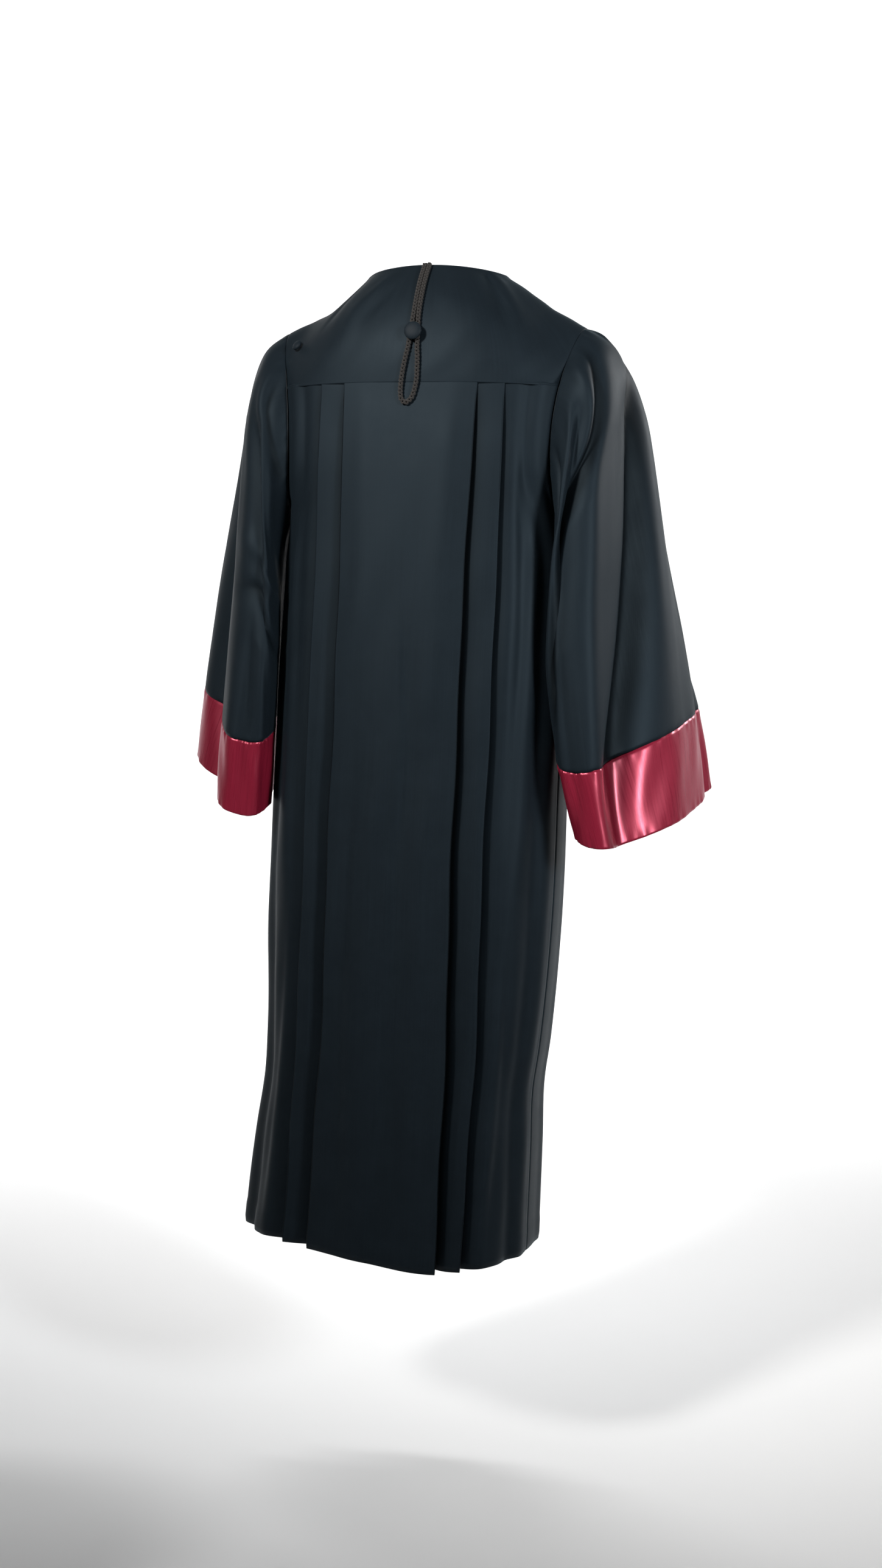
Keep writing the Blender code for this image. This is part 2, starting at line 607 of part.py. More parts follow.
def sleeve_grid(rows, side):
    grid = []
    for along in rows:
        points, angles = sleeve_ring(along, side)
        middle = points.mean(axis=0)
        tangent = np.roll(points, -1, axis=0) - np.roll(points, 1, axis=0)
        ahead, _ = sleeve_ring(min(along + 0.05, len(STATIONS) - 1), side)
        behind, _ = sleeve_ring(max(along - 0.05, 0.0), side)
        normal = np.cross(tangent, ahead - behind)
        normal /= np.linalg.norm(normal, axis=1)[:, None]
        outward = np.sign(((points - middle) * normal).sum())
        points = points + normal * outward * sleeve_fold(angles, along)[:, None]
        if along == 0.0:
            under = np.maximum(-np.sin(angles), 0.0)
            points[:, 0] += SLEEVE_SET_TOP + (SLEEVE_SET_SIDE - SLEEVE_SET_TOP) * np.abs(np.cos(angles))
            points[:, 0] += (SLEEVE_SET_UNDER - SLEEVE_SET_TOP) * under ** 2
        points = keep_off_body(points, along, side)
        points[:, 0] *= side
        grid.append(points)
    return np.array(grid)


def make_sleeve(name, side):
    rows = list(SLEEVE_ROWS)
    rows[-1] -= SEAM_ALONG / 2
    return add_sheet(name, sleeve_grid(rows, side), CLOTH, closed=True, flip=side < 0)


def make_band(name, side):
    rows = list(BAND_ROWS)
    rows[0] += SEAM_ALONG / 2
    return add_sheet(name, sleeve_grid(rows, side), SATIN, closed=True, flip=side < 0)


def back_line(z):
    """Depth of the gown at the centre back at a level, yoke above and pleated back below."""
    z = np.asarray(z, float)
    share = np.clip((NECK_RISE - z) / (NECK_RISE - YOKE_SEAM_Z), 0, 1)
    depth = float(table(SECTIONS, "z", "back", YOKE_SEAM_Z))
    above = NECK_BACK_Y + (depth - NECK_BACK_Y) * (1 - (1 - share) ** (1.0 + YOKE_ROUND_BACK))
    below = table(SECTIONS, "z", "back", z)
    return np.where(z > YOKE_SEAM_Z, above, below)


def add_button(name, radius, thickness, stand, foot, place, normal):
    """Domed, cloth-covered button with a shank: a profile turned about the button's axis."""
    rim = thickness * 0.42
    profile = [(0.0, foot), (SHANK_RADIUS, foot), (SHANK_RADIUS, stand), (radius * 0.86, stand),
               (radius * 0.97, stand + rim * 0.35), (radius, stand + rim)]
    for i in range(1, 5):
        turn = i * math.pi / 8
        profile.append((radius * math.cos(turn), stand + rim + (thickness - rim) * math.sin(turn)))
    profile[-1] = (0.0, stand + thickness)
    mesh = bpy.data.meshes.new(name)
    profile.reverse()
    mesh.from_pydata([(r, 0.0, h) for r, h in profile], [(i, i + 1) for i in range(len(profile) - 1)], [])
    mesh.materials.append(CLOTH)
    item = bpy.data.objects.new(name, mesh)
    GOWN.objects.link(item)
    screw = item.modifiers.new("turn", "SCREW")
    screw.axis = "Z"
    screw.steps = 20
    screw.render_steps = 20
    screw.use_merge_vertices = True
    screw.merge_threshold = 0.00001
    screw.use_smooth_shade = True
    item.location = place
    item.rotation_mode = "QUATERNION"
    item.rotation_quaternion = Vector(normal).to_track_quat("Z", "Y")
    return item


def make_back_button():
    share = (NECK_RISE - BACK_BUTTON_Z) / (NECK_RISE - YOKE_SEAM_Z)
    place, normal = yoke_place(0, share)
    place.x = BACK_BUTTON_X
    stand = WALL / 2 + 4 * SEAM_GAP + 2 * CORD_RADIUS
    return add_button("back_button", BACK_BUTTON_RADIUS, BACK_BUTTON_THICKNESS, stand,
                      WALL / 2 + SEAM_GAP, place, normal)


def make_shoulder_button():
    """On the yoke, just inside the armhole seam, a little behind the shoulder line."""
    place, normal = yoke_place(SHOULDER_BUTTON_COLUMN, SHOULDER_BUTTON_SHARE)
    foot = WALL / 2 + SEAM_GAP
    return add_button("shoulder_button_left", SHOULDER_BUTTON_RADIUS, SHOULDER_BUTTON_THICKNESS,
                      foot + SHOULDER_BUTTON_LIFT, foot, place, normal)


def cord_route():
    """Centre line of the braided loop: down one side, round its end and up the other."""
    half = np.array(CORD_HALF_ROUTE)
    levels = np.concatenate([half[:, 0], [CORD_END_Z], half[::-1, 0]])
    across = np.concatenate([half[:, 1], [0.0], -half[::-1, 1]])
    low = np.clip((BACK_BUTTON_Z - levels) / (BACK_BUTTON_Z - CORD_END_Z), 0, 1)
    across = across + BACK_BUTTON_X + CORD_END_SWAY * low ** 1.5
    points = np.stack([across, back_line(levels), levels], -1)
    slope = (back_line(levels + 0.003) - back_line(levels - 0.003)) / 0.006
    lean = np.hypot(1.0, slope)
    points[:, 1] += CORD_LIFT / lean
    points[:, 2] -= CORD_LIFT * slope / lean
    lengths = np.concatenate([[0], np.cumsum(np.linalg.norm(np.diff(points, axis=0), axis=1))])
    count = int(lengths[-1] / CORD_STEP) + 1
    return smooth_curve(lengths, points, np.linspace(0, lengths[-1], count))


def make_cord():
    curve = bpy.data.curves.new("hood_cord", "CURVE")
    curve.dimensions = "3D"
    curve.bevel_depth = CORD_RADIUS
    curve.bevel_resolution = 2
    curve.use_fill_caps = True
    spline = curve.splines.new("POLY")
    route = cord_route()
    spline.points.add(len(route) - 1)
    for point, place in zip(spline.points, route):
        point.co = (*place, 1.0)
    curve.materials.append(BRAID)
    item = bpy.data.objects.new("hood_cord", curve)
    GOWN.objects.link(item)
    return item


clear_scene()
GOWN = bpy.data.collections.new("graduation_gown")
bpy.context.scene.collection.children.link(GOWN)
CLOTH = make_material("black_cloth", CLOTH_COLOUR, 0.80)
SATIN = make_material("maroon_satin", SATIN_COLOUR, 0.32)
BRAID = make_material("dark_braid", CORD_COLOUR, 0.75)

make_back()
make_yoke()
make_front("front_left", 1)
make_front("front_right", -1)
make_sleeve("sleeve_left", 1)
make_sleeve("sleeve_right", -1)
make_band("cuff_band_left", 1)
make_band("cuff_band_right", -1)
make_back_button()
make_shoulder_button()
make_cord()
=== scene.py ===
"""Graduation gown: the cloth, satin bands, covered buttons and braided loop, with light and camera.

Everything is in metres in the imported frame: +Z up, the gown faces -Y, the wearer's left is +X.
"""

import math
from collections import namedtuple

import bpy
import numpy as np
from bpy.props import FloatProperty, FloatVectorProperty, IntProperty, PointerProperty
from mathutils import Euler, Matrix, Vector


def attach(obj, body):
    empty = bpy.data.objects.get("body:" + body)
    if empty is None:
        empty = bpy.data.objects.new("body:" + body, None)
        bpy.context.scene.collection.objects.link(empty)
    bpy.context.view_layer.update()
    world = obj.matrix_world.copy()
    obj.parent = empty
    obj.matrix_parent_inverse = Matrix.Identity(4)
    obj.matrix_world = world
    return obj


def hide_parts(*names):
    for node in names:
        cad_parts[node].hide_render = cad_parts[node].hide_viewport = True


bl_info = {
    "name": "Graduation gown",
    "version": (1, 0, 0),
    "blender": (4, 5, 0),
    "location": "3D View > Sidebar > Gown",
    "description": "Builds a worn graduation gown with pleated back, bell sleeves and satin bands",
    "category": "Add Mesh",
}

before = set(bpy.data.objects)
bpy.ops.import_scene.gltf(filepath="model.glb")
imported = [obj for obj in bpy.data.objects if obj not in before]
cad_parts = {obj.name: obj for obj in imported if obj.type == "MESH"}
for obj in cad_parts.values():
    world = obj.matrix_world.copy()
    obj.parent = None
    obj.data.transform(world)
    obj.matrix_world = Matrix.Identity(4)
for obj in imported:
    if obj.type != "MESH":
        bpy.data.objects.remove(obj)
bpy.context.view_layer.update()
BODY = "root"

# Levels and edges of the cut
YOKE_SEAM_Z = -0.146
FRONT_SEAM_Z = -0.100
UNDERARM_Z = -0.300
HEM_Z = -1.236
SIDE_SEAM_Y = 0.020
NECK_HALF_WIDTH = 0.088
NECK_BACK_Y = 0.057
NECK_FRONT_Y = 0.0975
NECK_RISE = 0.005
NECK_DROP = 0.150
NECK_DROP_POWER = 1.6
SHOULDER_HOLLOW = 0.38
SHOULDER_HOLLOW_RIGHT = -0.06
SHOULDER_REACH = 0.070
REST_GAP = 0.0055

Section = namedtuple("Section", "z half_width back front square sway")
SECTIONS = [
    Section(-0.100, 0.200, 0.104, 0.0777, 2.65, 0.000),
    Section(-0.146, 0.198, 0.108, 0.0970, 2.65, 0.000),
    Section(-0.215, 0.186, 0.115, 0.1120, 2.60, 0.000),
    Section(-0.300, 0.174, 0.120, 0.1200, 2.45, 0.000),
    Section(-0.345, 0.183, 0.122, 0.1225, 2.35, 0.000),
    Section(-0.485, 0.187, 0.127, 0.1250, 2.30, 0.001),
    Section(-0.630, 0.188, 0.130, 0.1260, 2.30, 0.003),
    Section(-0.740, 0.189, 0.132, 0.1270, 2.30, 0.004),
    Section(-0.820, 0.188, 0.133, 0.1270, 2.30, 0.005),
    Section(-0.960, 0.182, 0.135, 0.1280, 2.30, 0.008),
    Section(-1.020, 0.179, 0.136, 0.1290, 2.30, 0.012),
    Section(-1.100, 0.184, 0.138, 0.1320, 2.30, 0.017),
    Section(-1.236, 0.190, 0.142, 0.1360, 2.30, 0.024),
]
SWAY_AT_CENTRE = 0.1

HemLift = namedtuple("HemLift", "across lift")
HEM_LIFTS = [
    HemLift(-0.180, 0.008), HemLift(-0.121, 0.003), HemLift(-0.085, 0.000),
    HemLift(0.000, 0.006), HemLift(0.085, 0.012), HemLift(0.121, 0.012), HemLift(0.190, 0.008),
]
HEM_LIFT_LENGTH = 0.25

# Knife pleats of the back
Pleat = namedtuple("Pleat", "name edge_top edge_waist edge_hem depth dip_top dip_hem rise")
PLEATS = [
    Pleat("inner", 0.085, 0.080, 0.085, 0.025, 0.0038, 0.021, 0.85),
    Pleat("outer", 0.118, 0.120, 0.121, 0.020, 0.0038, 0.019, 1.00),
]
PLEAT_PITCH = 0.0019
SEWN_PITCH = 0.0010
YOKE_LAP = 0.0035
YOKE_LAP_DEPTH = 0.0005
PLEAT_WAIST_Z = -0.450
SIDE_RISE_LENGTH = 0.034

SoftFold = namedtuple("SoftFold", "place height_top height_hem width")
BACK_FOLDS = [
    SoftFold(0.80, -0.0020, -0.0060, 0.050),
    SoftFold(0.90, 0.0010, 0.0030, 0.050),
]
FRONT_FOLDS = [
    SoftFold(0.16, 0.0010, 0.0080, 0.055),
    SoftFold(0.30, -0.0010, -0.0120, 0.060),
    SoftFold(0.45, 0.0015, 0.0100, 0.065),
    SoftFold(0.60, -0.0015, -0.0130, 0.060),
    SoftFold(0.76, 0.0010, 0.0070, 0.060),
]

# Sleeve stations from the armhole to the mouth, on the wearer's left
Station = namedtuple("Station", "name outer under rear front")
STATIONS = [
    Station("armhole", (0.195, 0.000, -0.067), (0.174, 0.020, -0.300),
            (0.170, 0.070, -0.1835), (0.170, -0.070, -0.1835)),
    Station("shoulder_end", (0.223, -0.010, -0.083), (0.181, 0.018, -0.328),
            (0.190, 0.085, -0.200), (0.198, -0.084, -0.195)),
    Station("shoulder_turn", (0.240, -0.020, -0.109), (0.186, 0.013, -0.352),
            (0.196, 0.093, -0.236), (0.212, -0.094, -0.226)),
    Station("upper_arm", (0.253, -0.028, -0.142), (0.189, 0.006, -0.376),
            (0.197, 0.096, -0.276), (0.222, -0.102, -0.262)),
    Station("above_elbow", (0.264, -0.035, -0.203), (0.191, 0.000, -0.410),
            (0.195, 0.098, -0.330), (0.232, -0.111, -0.315)),
    Station("elbow", (0.284, -0.042, -0.338), (0.194, -0.008, -0.472),
            (0.195, 0.100, -0.430), (0.256, -0.125, -0.415)),
    Station("forearm", (0.299, -0.044, -0.442), (0.198, -0.016, -0.510),
            (0.203, 0.100, -0.520), (0.279, -0.138, -0.470)),
    Station("band_top", (0.312, -0.040, -0.540), (0.202, -0.024, -0.548),
            (0.213, 0.099, -0.600), (0.300, -0.146, -0.524)),
    Station("mouth", (0.323, -0.036, -0.640), (0.205, -0.030, -0.644),
            (0.224, 0.098, -0.697), (0.312, -0.150, -0.620)),
]
RING_SQUARE = 0.88
BAND_STATION = len(STATIONS) - 2.0
MOUTH_STATION = len(STATIONS) - 1.0
HANG_START = 3.0

Hang = namedtuple("Hang", "side corner at_band at_mouth")
HANGS = [
    Hang("left", "outer", (-0.002, 0.000, 0.014), (-0.006, 0.000, 0.030)),
    Hang("left", "under", (0.000, 0.000, 0.004), (0.000, 0.000, 0.008)),
    Hang("left", "rear", (-0.008, 0.002, 0.008), (-0.012, 0.002, 0.012)),
    Hang("left", "front", (0.000, 0.000, 0.014), (-0.004, 0.000, 0.030)),
    Hang("right", "outer", (0.008, 0.000, -0.014), (0.016, 0.000, -0.022)),
    Hang("right", "under", (0.008, 0.000, -0.008), (0.024, 0.000, -0.012)),
    Hang("right", "rear", (0.009, 0.000, -0.010), (0.026, -0.002, -0.003)),
    Hang("right", "front", (0.008, 0.000, -0.010), (0.016, 0.000, -0.014)),
]
SLEEVE_SET_TOP = 0.0005
SLEEVE_SET_SIDE = 0.0012
SLEEVE_SET_UNDER = 0.0026

SleeveFold = namedtuple("SleeveFold", "side angle_top angle_end top end width first last")
SLEEVE_FOLDS = [
    SleeveFold("right", 90.0, 36.0, -0.010, -0.018, 14.0, 2.4, 9.0),
    SleeveFold("left", 90.0, 49.0, -0.012, -0.028, 11.0, 3.6, 9.0),
    SleeveFold("left", 114.0, 94.0, 0.018, 0.006, 22.0, 0.8, 9.0),
    SleeveFold("both", 40.0, 14.0, 0.005, 0.007, 14.0, 1.2, 9.0),
    SleeveFold("both", 24.0, -26.0, -0.011, -0.010, 13.0, 1.6, 5.4),
    SleeveFold("both", 96.0, 76.0, 0.003, 0.008, 15.0, 3.0, 9.0),
    SleeveFold("both", 150.0, 132.0, -0.007, -0.011, 15.0, 1.6, 9.0),
    SleeveFold("both", 185.0, 165.0, 0.003, 0.005, 16.0, 1.6, 9.0),
]

# Creases worn into the cloth: a line through points, its height (a trough is negative), its width
# at both ends, and how much it leans: above 0 it is wider on the right of its line
Crease = namedtuple("Crease", "side points height width0 width1 lean")
# Sleeves: (angle, station), angle 0 at the rear and 90 at the outer line
SLEEVE_CREASES = [
    Crease("right", [(34, 0.3), (32, 0.9), (31, 2.0), (28, 3.0)], 0.0060, 0.010, 0.013, 0.0),
    Crease("right", [(46, 1.4), (38, 2.8), (24, 3.5), (-2, 3.8), (-15, 4.5), (-24, 6.0)],
           -0.0135, 0.011, 0.021, 0.3),
    Crease("right", [(-14, 0.5), (-16, 1.6), (-14, 3.0)], -0.0042, 0.006, 0.008, -0.3),
    Crease("right", [(10, 0.9), (2, 2.2), (-8, 3.1)], 0.0026, 0.008, 0.010, 0.0),
    Crease("right", [(94, 2.2), (80, 4.1), (71, 4.9), (56, 6.0), (34, 7.0), (18, 8.0)],
           -0.0115, 0.010, 0.024, 0.4),
    Crease("right", [(31, 3.9), (27, 5.2), (18, 7.0)], 0.0026, 0.014, 0.020, 0.0),
    Crease("right", [(6, 4.6), (0, 5.8), (-4, 7.8)], -0.0030, 0.010, 0.016, 0.3),
    Crease("right", [(92, 3.6), (88, 5.4), (86, 7.9)], 0.0022, 0.010, 0.016, 0.0),
    Crease("right", [(112, 1.2), (118, 3.4), (112, 6.8)], -0.0030, 0.010, 0.016, -0.3),
    Crease("right", [(205, 0.5), (226, 2.6), (232, 4.6)], -0.0044, 0.010, 0.014, 0.3),
    Crease("right", [(236, 2.0), (222, 4.8), (214, 8.0)], 0.0034, 0.014, 0.020, 0.0),
    Crease("left", [(22, 0.5), (8, 1.0), (-14, 0.75), (-36, 0.3)], -0.0060, 0.006, 0.009, 0.4),
    Crease("left", [(34, 0.4), (24, 1.4), (18, 3.0)], 0.0028, 0.009, 0.012, 0.0),
    Crease("left", [(26, 4.6), (8, 4.4), (-20, 4.3), (-52, 4.2)], 0.0036, 0.012, 0.011, 0.0),
    Crease("left", [(22, 5.0), (2, 4.8), (-24, 4.9), (-50, 5.2)], -0.0050, 0.010, 0.018, 0.4),
    Crease("left", [(46, 2.8), (40, 4.6), (34, 6.6)], 0.0030, 0.010, 0.014, 0.0),
    Crease("left", [(8, 5.4), (4, 6.4), (2, 7.9)], -0.0026, 0.008, 0.012, -0.3),
    Crease("left", [(-12, 5.6), (-20, 6.8), (-22, 7.9)], 0.0024, 0.010, 0.014, 0.0),
    Crease("left", [(98, 1.4), (100, 3.6), (94, 6.6)], 0.0024, 0.010, 0.014, 0.0),
    Crease("left", [(116, 1.0), (124, 3.4), (116, 7.0)], -0.0032, 0.010, 0.016, 0.3),
    Crease("left", [(203, 0.6), (222, 2.6), (228, 4.8)], -0.0042, 0.010, 0.014, -0.3),
    Crease("left", [(232, 2.2), (218, 5.0), (208, 8.0)], 0.0032, 0.014, 0.020, 0.0),
]
# Back and fronts: (x, z), a front's x counted from the centre
BACK_CREASES = [
    Crease("both", [(-0.056, -0.175), (-0.050, -0.330), (-0.046, -0.540)], 0.0016, 0.014, 0.020, 0.0),
    Crease("both", [(0.056, -0.165), (0.050, -0.320), (0.046, -0.500)], 0.0014, 0.014, 0.020, 0.0),
    Crease("both", [(-0.012, -0.470), (-0.020, -0.590), (-0.013, -0.760), (-0.018, -1.000)],
           -0.0026, 0.010, 0.018, 0.4),
    Crease("both", [(0.016, -0.560), (0.026, -0.860), (0.020, -1.180)], 0.0024, 0.014, 0.020, 0.0),
    Crease("both", [(0.050, -0.620), (0.056, -0.900), (0.048, -1.210)], -0.0022, 0.010, 0.018, -0.4),
    Crease("both", [(-0.044, -0.680), (-0.040, -0.930), (-0.048, -1.220)], 0.0022, 0.012, 0.018, 0.0),
    Crease("both", [(0.000, -0.900), (-0.006, -1.060), (0.004, -1.225)], -0.0020, 0.010, 0.014, 0.3),
    Crease("both", [(-0.149, -0.195), (-0.152, -0.300), (-0.157, -0.480), (-0.154, -0.720)],
           -0.0040, 0.009, 0.016, 0.3),
    Crease("both", [(-0.135, -0.230), (-0.137, -0.360), (-0.140, -0.560)], 0.0018, 0.010, 0.010, 0.0),
    Crease("both", [(-0.168, -0.330), (-0.166, -0.560), (-0.162, -0.820)], 0.0026, 0.009, 0.012, 0.0),
    Crease("both", [(0.148, -0.200), (0.150, -0.330), (0.152, -0.540)], -0.0034, 0.009, 0.014, -0.3),
    Crease("both", [(0.165, -0.320), (0.162, -0.520), (0.158, -0.740)], 0.0024, 0.009, 0.012, 0.0),
    Crease("both", [(-0.106, -0.560), (-0.112, -0.800), (-0.106, -1.150)], 0.0016, 0.007, 0.008, 0.0),
    Crease("both", [(0.104, -0.520), (0.107, -0.820), (0.104, -1.140)], 0.0015, 0.007, 0.008, 0.0),
    Crease("both", [(-0.158, -0.860), (-0.166, -1.040), (-0.160, -1.215)], -0.0030, 0.009, 0.014, 0.3),
    Crease("both", [(-0.142, -0.900), (-0.146, -1.080), (-0.140, -1.215)], 0.0026, 0.010, 0.013, 0.0),
    Crease("both", [(0.152, -0.820), (0.162, -1.020), (0.170, -1.215)], -0.0028, 0.009, 0.014, -0.3),
]
FRONT_CREASES = [
    Crease("both", [(0.040, -0.200), (0.052, -0.440), (0.048, -0.720)], -0.0030, 0.012, 0.018, 0.3),
    Crease("both", [(0.072, -0.165), (0.086, -0.330), (0.092, -0.580)], 0.0026, 0.012, 0.018, 0.0),
    Crease("left", [(0.116, -0.210), (0.124, -0.420), (0.118, -0.680)], -0.0032, 0.010, 0.014, -0.3),
    Crease("right", [(0.108, -0.190), (0.114, -0.380), (0.124, -0.620)], -0.0032, 0.010, 0.014, 0.3),
    Crease("both", [(0.150, -0.330), (0.146, -0.600), (0.138, -0.920)], 0.0026, 0.012, 0.018, 0.0),
    Crease("left", [(0.026, -0.620), (0.034, -0.900), (0.028, -1.190)], 0.0026, 0.012, 0.018, 0.0),
    Crease("right", [(0.036, -0.560), (0.030, -0.880), (0.040, -1.190)], 0.0024, 0.012, 0.018, 0.0),
    Crease("both", [(0.104, -0.760), (0.110, -0.980), (0.114, -1.210)], -0.0030, 0.012, 0.018, 0.3),
]
# Yoke: (x, y)
YOKE_CREASES = [
    Crease("both", [(-0.070, 0.034), (-0.090, 0.054), (-0.112, 0.074)], -0.0034, 0.007, 0.012, 0.4),
    Crease("both", [(-0.084, 0.032), (-0.106, 0.050), (-0.130, 0.066)], 0.0020, 0.008, 0.012, 0.0),
    Crease("both", [(-0.030, 0.086), (-0.062, 0.090), (-0.090, 0.088)], 0.0013, 0.008, 0.012, 0.0),
    Crease("both", [(0.030, 0.078), (0.048, 0.087), (0.070, 0.092)], -0.0018, 0.005, 0.008, 0.3),
    Crease("both", [(0.044, 0.068), (0.066, 0.080), (0.092, 0.086)], 0.0014, 0.006, 0.009, 0.0),
    Crease("both", [(0.084, 0.030), (0.104, 0.046), (0.124, 0.066)], -0.0020, 0.007, 0.010, -0.3),
    Crease("both", [(0.152, -0.020), (0.150, 0.014), (0.140, 0.048)], 0.0014, 0.010, 0.012, 0.0),
    Crease("both", [(-0.152, -0.022), (-0.150, 0.012), (-0.140, 0.046)], -0.0013, 0.010, 0.012, 0.0),
    Crease("both", [(0.060, -0.070), (0.098, -0.060), (0.130, -0.052)], -0.0016, 0.008, 0.010, 0.0),
    Crease("both", [(-0.060, -0.072), (-0.096, -0.060), (-0.132, -0.050)], 0.0014, 0.008, 0.010, 0.0),
]

# Buttons and braid
BACK_BUTTON_X = -0.0040
BACK_BUTTON_Z = -0.086
BACK_BUTTON_RADIUS = 0.0110
BACK_BUTTON_THICKNESS = 0.0062
SHOULDER_BUTTON_RADIUS = 0.0068
SHOULDER_BUTTON_THICKNESS = 0.0052
SHOULDER_BUTTON_LIFT = 0.0018
SHOULDER_BUTTON_COLUMN = 8
SHOULDER_BUTTON_SHARE = 0.74
SHANK_RADIUS = 0.0015
CAD_WALL = 0.0012
SEAM_GAP = 0.0003
CORD_RADIUS = 0.0026
CORD_LIFT = CAD_WALL / 2 + SEAM_GAP + CORD_RADIUS
CORD_HALF_ROUTE = [
    (0.0030, 0.0030), (-0.0250, 0.0030), (-0.0500, 0.0030), (-0.0680, 0.0034),
    (-0.0860, 0.0047), (-0.1020, 0.0056), (-0.1180, 0.0078), (-0.1360, 0.0094),
    (-0.1540, 0.0090), (-0.1660, 0.0062),
]
CORD_END_Z = -0.1710
CORD_END_SWAY = 0.0060

# Camera, fitted to the photograph: it stands behind the gown, to the wearer's right
CAMERA_TURN = 16.57
CAMERA_DISTANCE = 2.374
CAMERA_Z = -0.463
CAMERA_SIDE = 0.0246
CAMERA_PITCH = 4.27
CAMERA_ROLL = 1.95
CAMERA_SENSOR = 24.0
CAMERA_LENS = 3036.0 / 2576.0 * CAMERA_SENSOR


# ---------------------------------------------------------------- curves
def smooth_curve(keys, values, at):
    """Cubic Hermite curve through (key, value) points, its slopes limited so it never overshoots."""
    keys = np.asarray(keys, float)
    values = np.asarray(values, float)
    at = np.clip(np.asarray(at, float), keys[0], keys[-1])
    steps = np.diff(keys)
    slopes = np.diff(values, axis=0) / (steps if values.ndim == 1 else steps[:, None])
    inner = 0.5 * (slopes[:-1] + slopes[1:])
    limit = 2.0 * np.minimum(np.abs(slopes[:-1]), np.abs(slopes[1:]))
    inner = np.where(slopes[:-1] * slopes[1:] > 0, np.sign(inner) * np.minimum(np.abs(inner), limit), 0.0)
    tangents = np.concatenate([slopes[:1], inner, slopes[-1:]])
    i = np.clip(np.searchsorted(keys, at, side="right") - 1, 0, len(keys) - 2)
    width = keys[i + 1] - keys[i]
    t = (at - keys[i]) / width
    if values.ndim > 1:
        t = t[..., None]
        width = width[..., None]
    return ((2 * t**3 - 3 * t**2 + 1) * values[i] + (t**3 - 2 * t**2 + t) * width * tangents[i]
            + (-2 * t**3 + 3 * t**2) * values[i + 1] + (t**3 - t**2) * width * tangents[i + 1])


def column(rows, key, value, at):
    """One column of a table as a smooth curve over another."""
    keys = np.array([getattr(row, key) for row in rows], float)
    values = np.array([getattr(row, value) for row in rows], float)
    order = np.argsort(keys)
    return smooth_curve(keys[order], values[order], at)


def rise_between(low, high, value):
    """Smooth step: 0 below low, 1 above high, 3t^2 - 2t^3 between."""
    t = np.clip((value - low) / (high - low), 0.0, 1.0)
    return t * t * (3 - 2 * t)


def ripple(along, seed, *periods):
    """Sum of sines of the given periods with fixed phases, between about -1 and 1."""
    phases = np.random.default_rng(seed).uniform(0, 2 * math.pi, len(periods))
    total = sum(np.sin(2 * math.pi * along / p + phase) for p, phase in zip(periods, phases))
    return total / len(periods)


def cloth_path(points):
    """Running length of a line of points, from 0."""
    steps = np.linalg.norm(np.diff(points, axis=0), axis=1)
    return np.concatenate([[0.0], np.cumsum(steps)])


def crease_height(creases, side, u, v):
    """Creases as soft troughs and ridges.

    Each follows a smooth line through its points. Its height is a bell curve of the distance d
    from that line, exp(-(d / w)^2), whose width w grows along the line and differs between its two
    sides, and it fades in and out along it.
    """
    u, v = np.broadcast_arrays(u, v)
    total = np.zeros(u.shape)
    for crease in creases:
        if crease.side not in ("both", side):
            continue
        line = np.array(crease.points, float)
        marks = cloth_path(line)
        line = smooth_curve(marks, line, np.linspace(0, marks[-1], 25))
        best = np.full(u.shape, np.inf)
        place = np.zeros(u.shape)
        aside = np.zeros(u.shape)
        for number, (start, end) in enumerate(zip(line[:-1], line[1:])):
            du, dv = end - start
            size = math.hypot(du, dv)
            t = ((u - start[0]) * du + (v - start[1]) * dv) / size**2
            t = np.clip(t, -6.0 if number == 0 else 0.0, 7.0 if number == 23 else 1.0)
            distance = np.hypot(u - start[0] - t * du, v - start[1] - t * dv)
            nearer = distance < best
            best = np.where(nearer, distance, best)
            place = np.where(nearer, (number + t) / 24, place)
            aside = np.where(nearer, np.sign((u - start[0]) * dv - (v - start[1]) * du), aside)
        width = crease.width0 + (crease.width1 - crease.width0) * np.clip(place, 0, 1)
        fade = rise_between(-0.22, 0.22, place) * (1 - rise_between(0.72, 1.24, place))
        total += crease.height * fade * np.exp(-(best / (width * (1 + crease.lean * aside))) ** 2)
    return total


# ---------------------------------------------------------------- body of the gown
def loop_through(outer, under, rear, front, angle, square=1.0):
    """Closed loop through four points: centre + along cos(a) + across sin(a) + pinch cos(2a)."""
    angle = np.asarray(angle, float)[..., None]
    cosine = np.sign(np.cos(angle)) * np.abs(np.cos(angle)) ** square
    sine = np.sign(np.sin(angle)) * np.abs(np.sin(angle)) ** square
    outer, under, rear, front = (np.asarray(p, float) for p in (outer, under, rear, front))
    centre = (outer + under + rear + front) / 4
    along = (rear - front) / 2
    across = (outer - under) / 2
    pinch = (rear + front - outer - under) / 4
    return centre + along * cosine + across * sine + pinch * np.cos(2 * angle)


def armhole_point(angle):
    hole = STATIONS[0]
    return loop_through(hole.outer, hole.under, hole.rear, hole.front, angle)


def armhole_angle(z, back):
    """Angle on the armhole at which it reaches a level: arcsin of the level's share of its height."""
    hole = STATIONS[0]
    middle = (hole.outer[2] + hole.under[2]) / 2
    half = (hole.outer[2] - hole.under[2]) / 2
    angle = np.arcsin(np.clip((z - middle) / half, -1.0, 1.0))
    return np.where(back, angle, math.pi - angle)


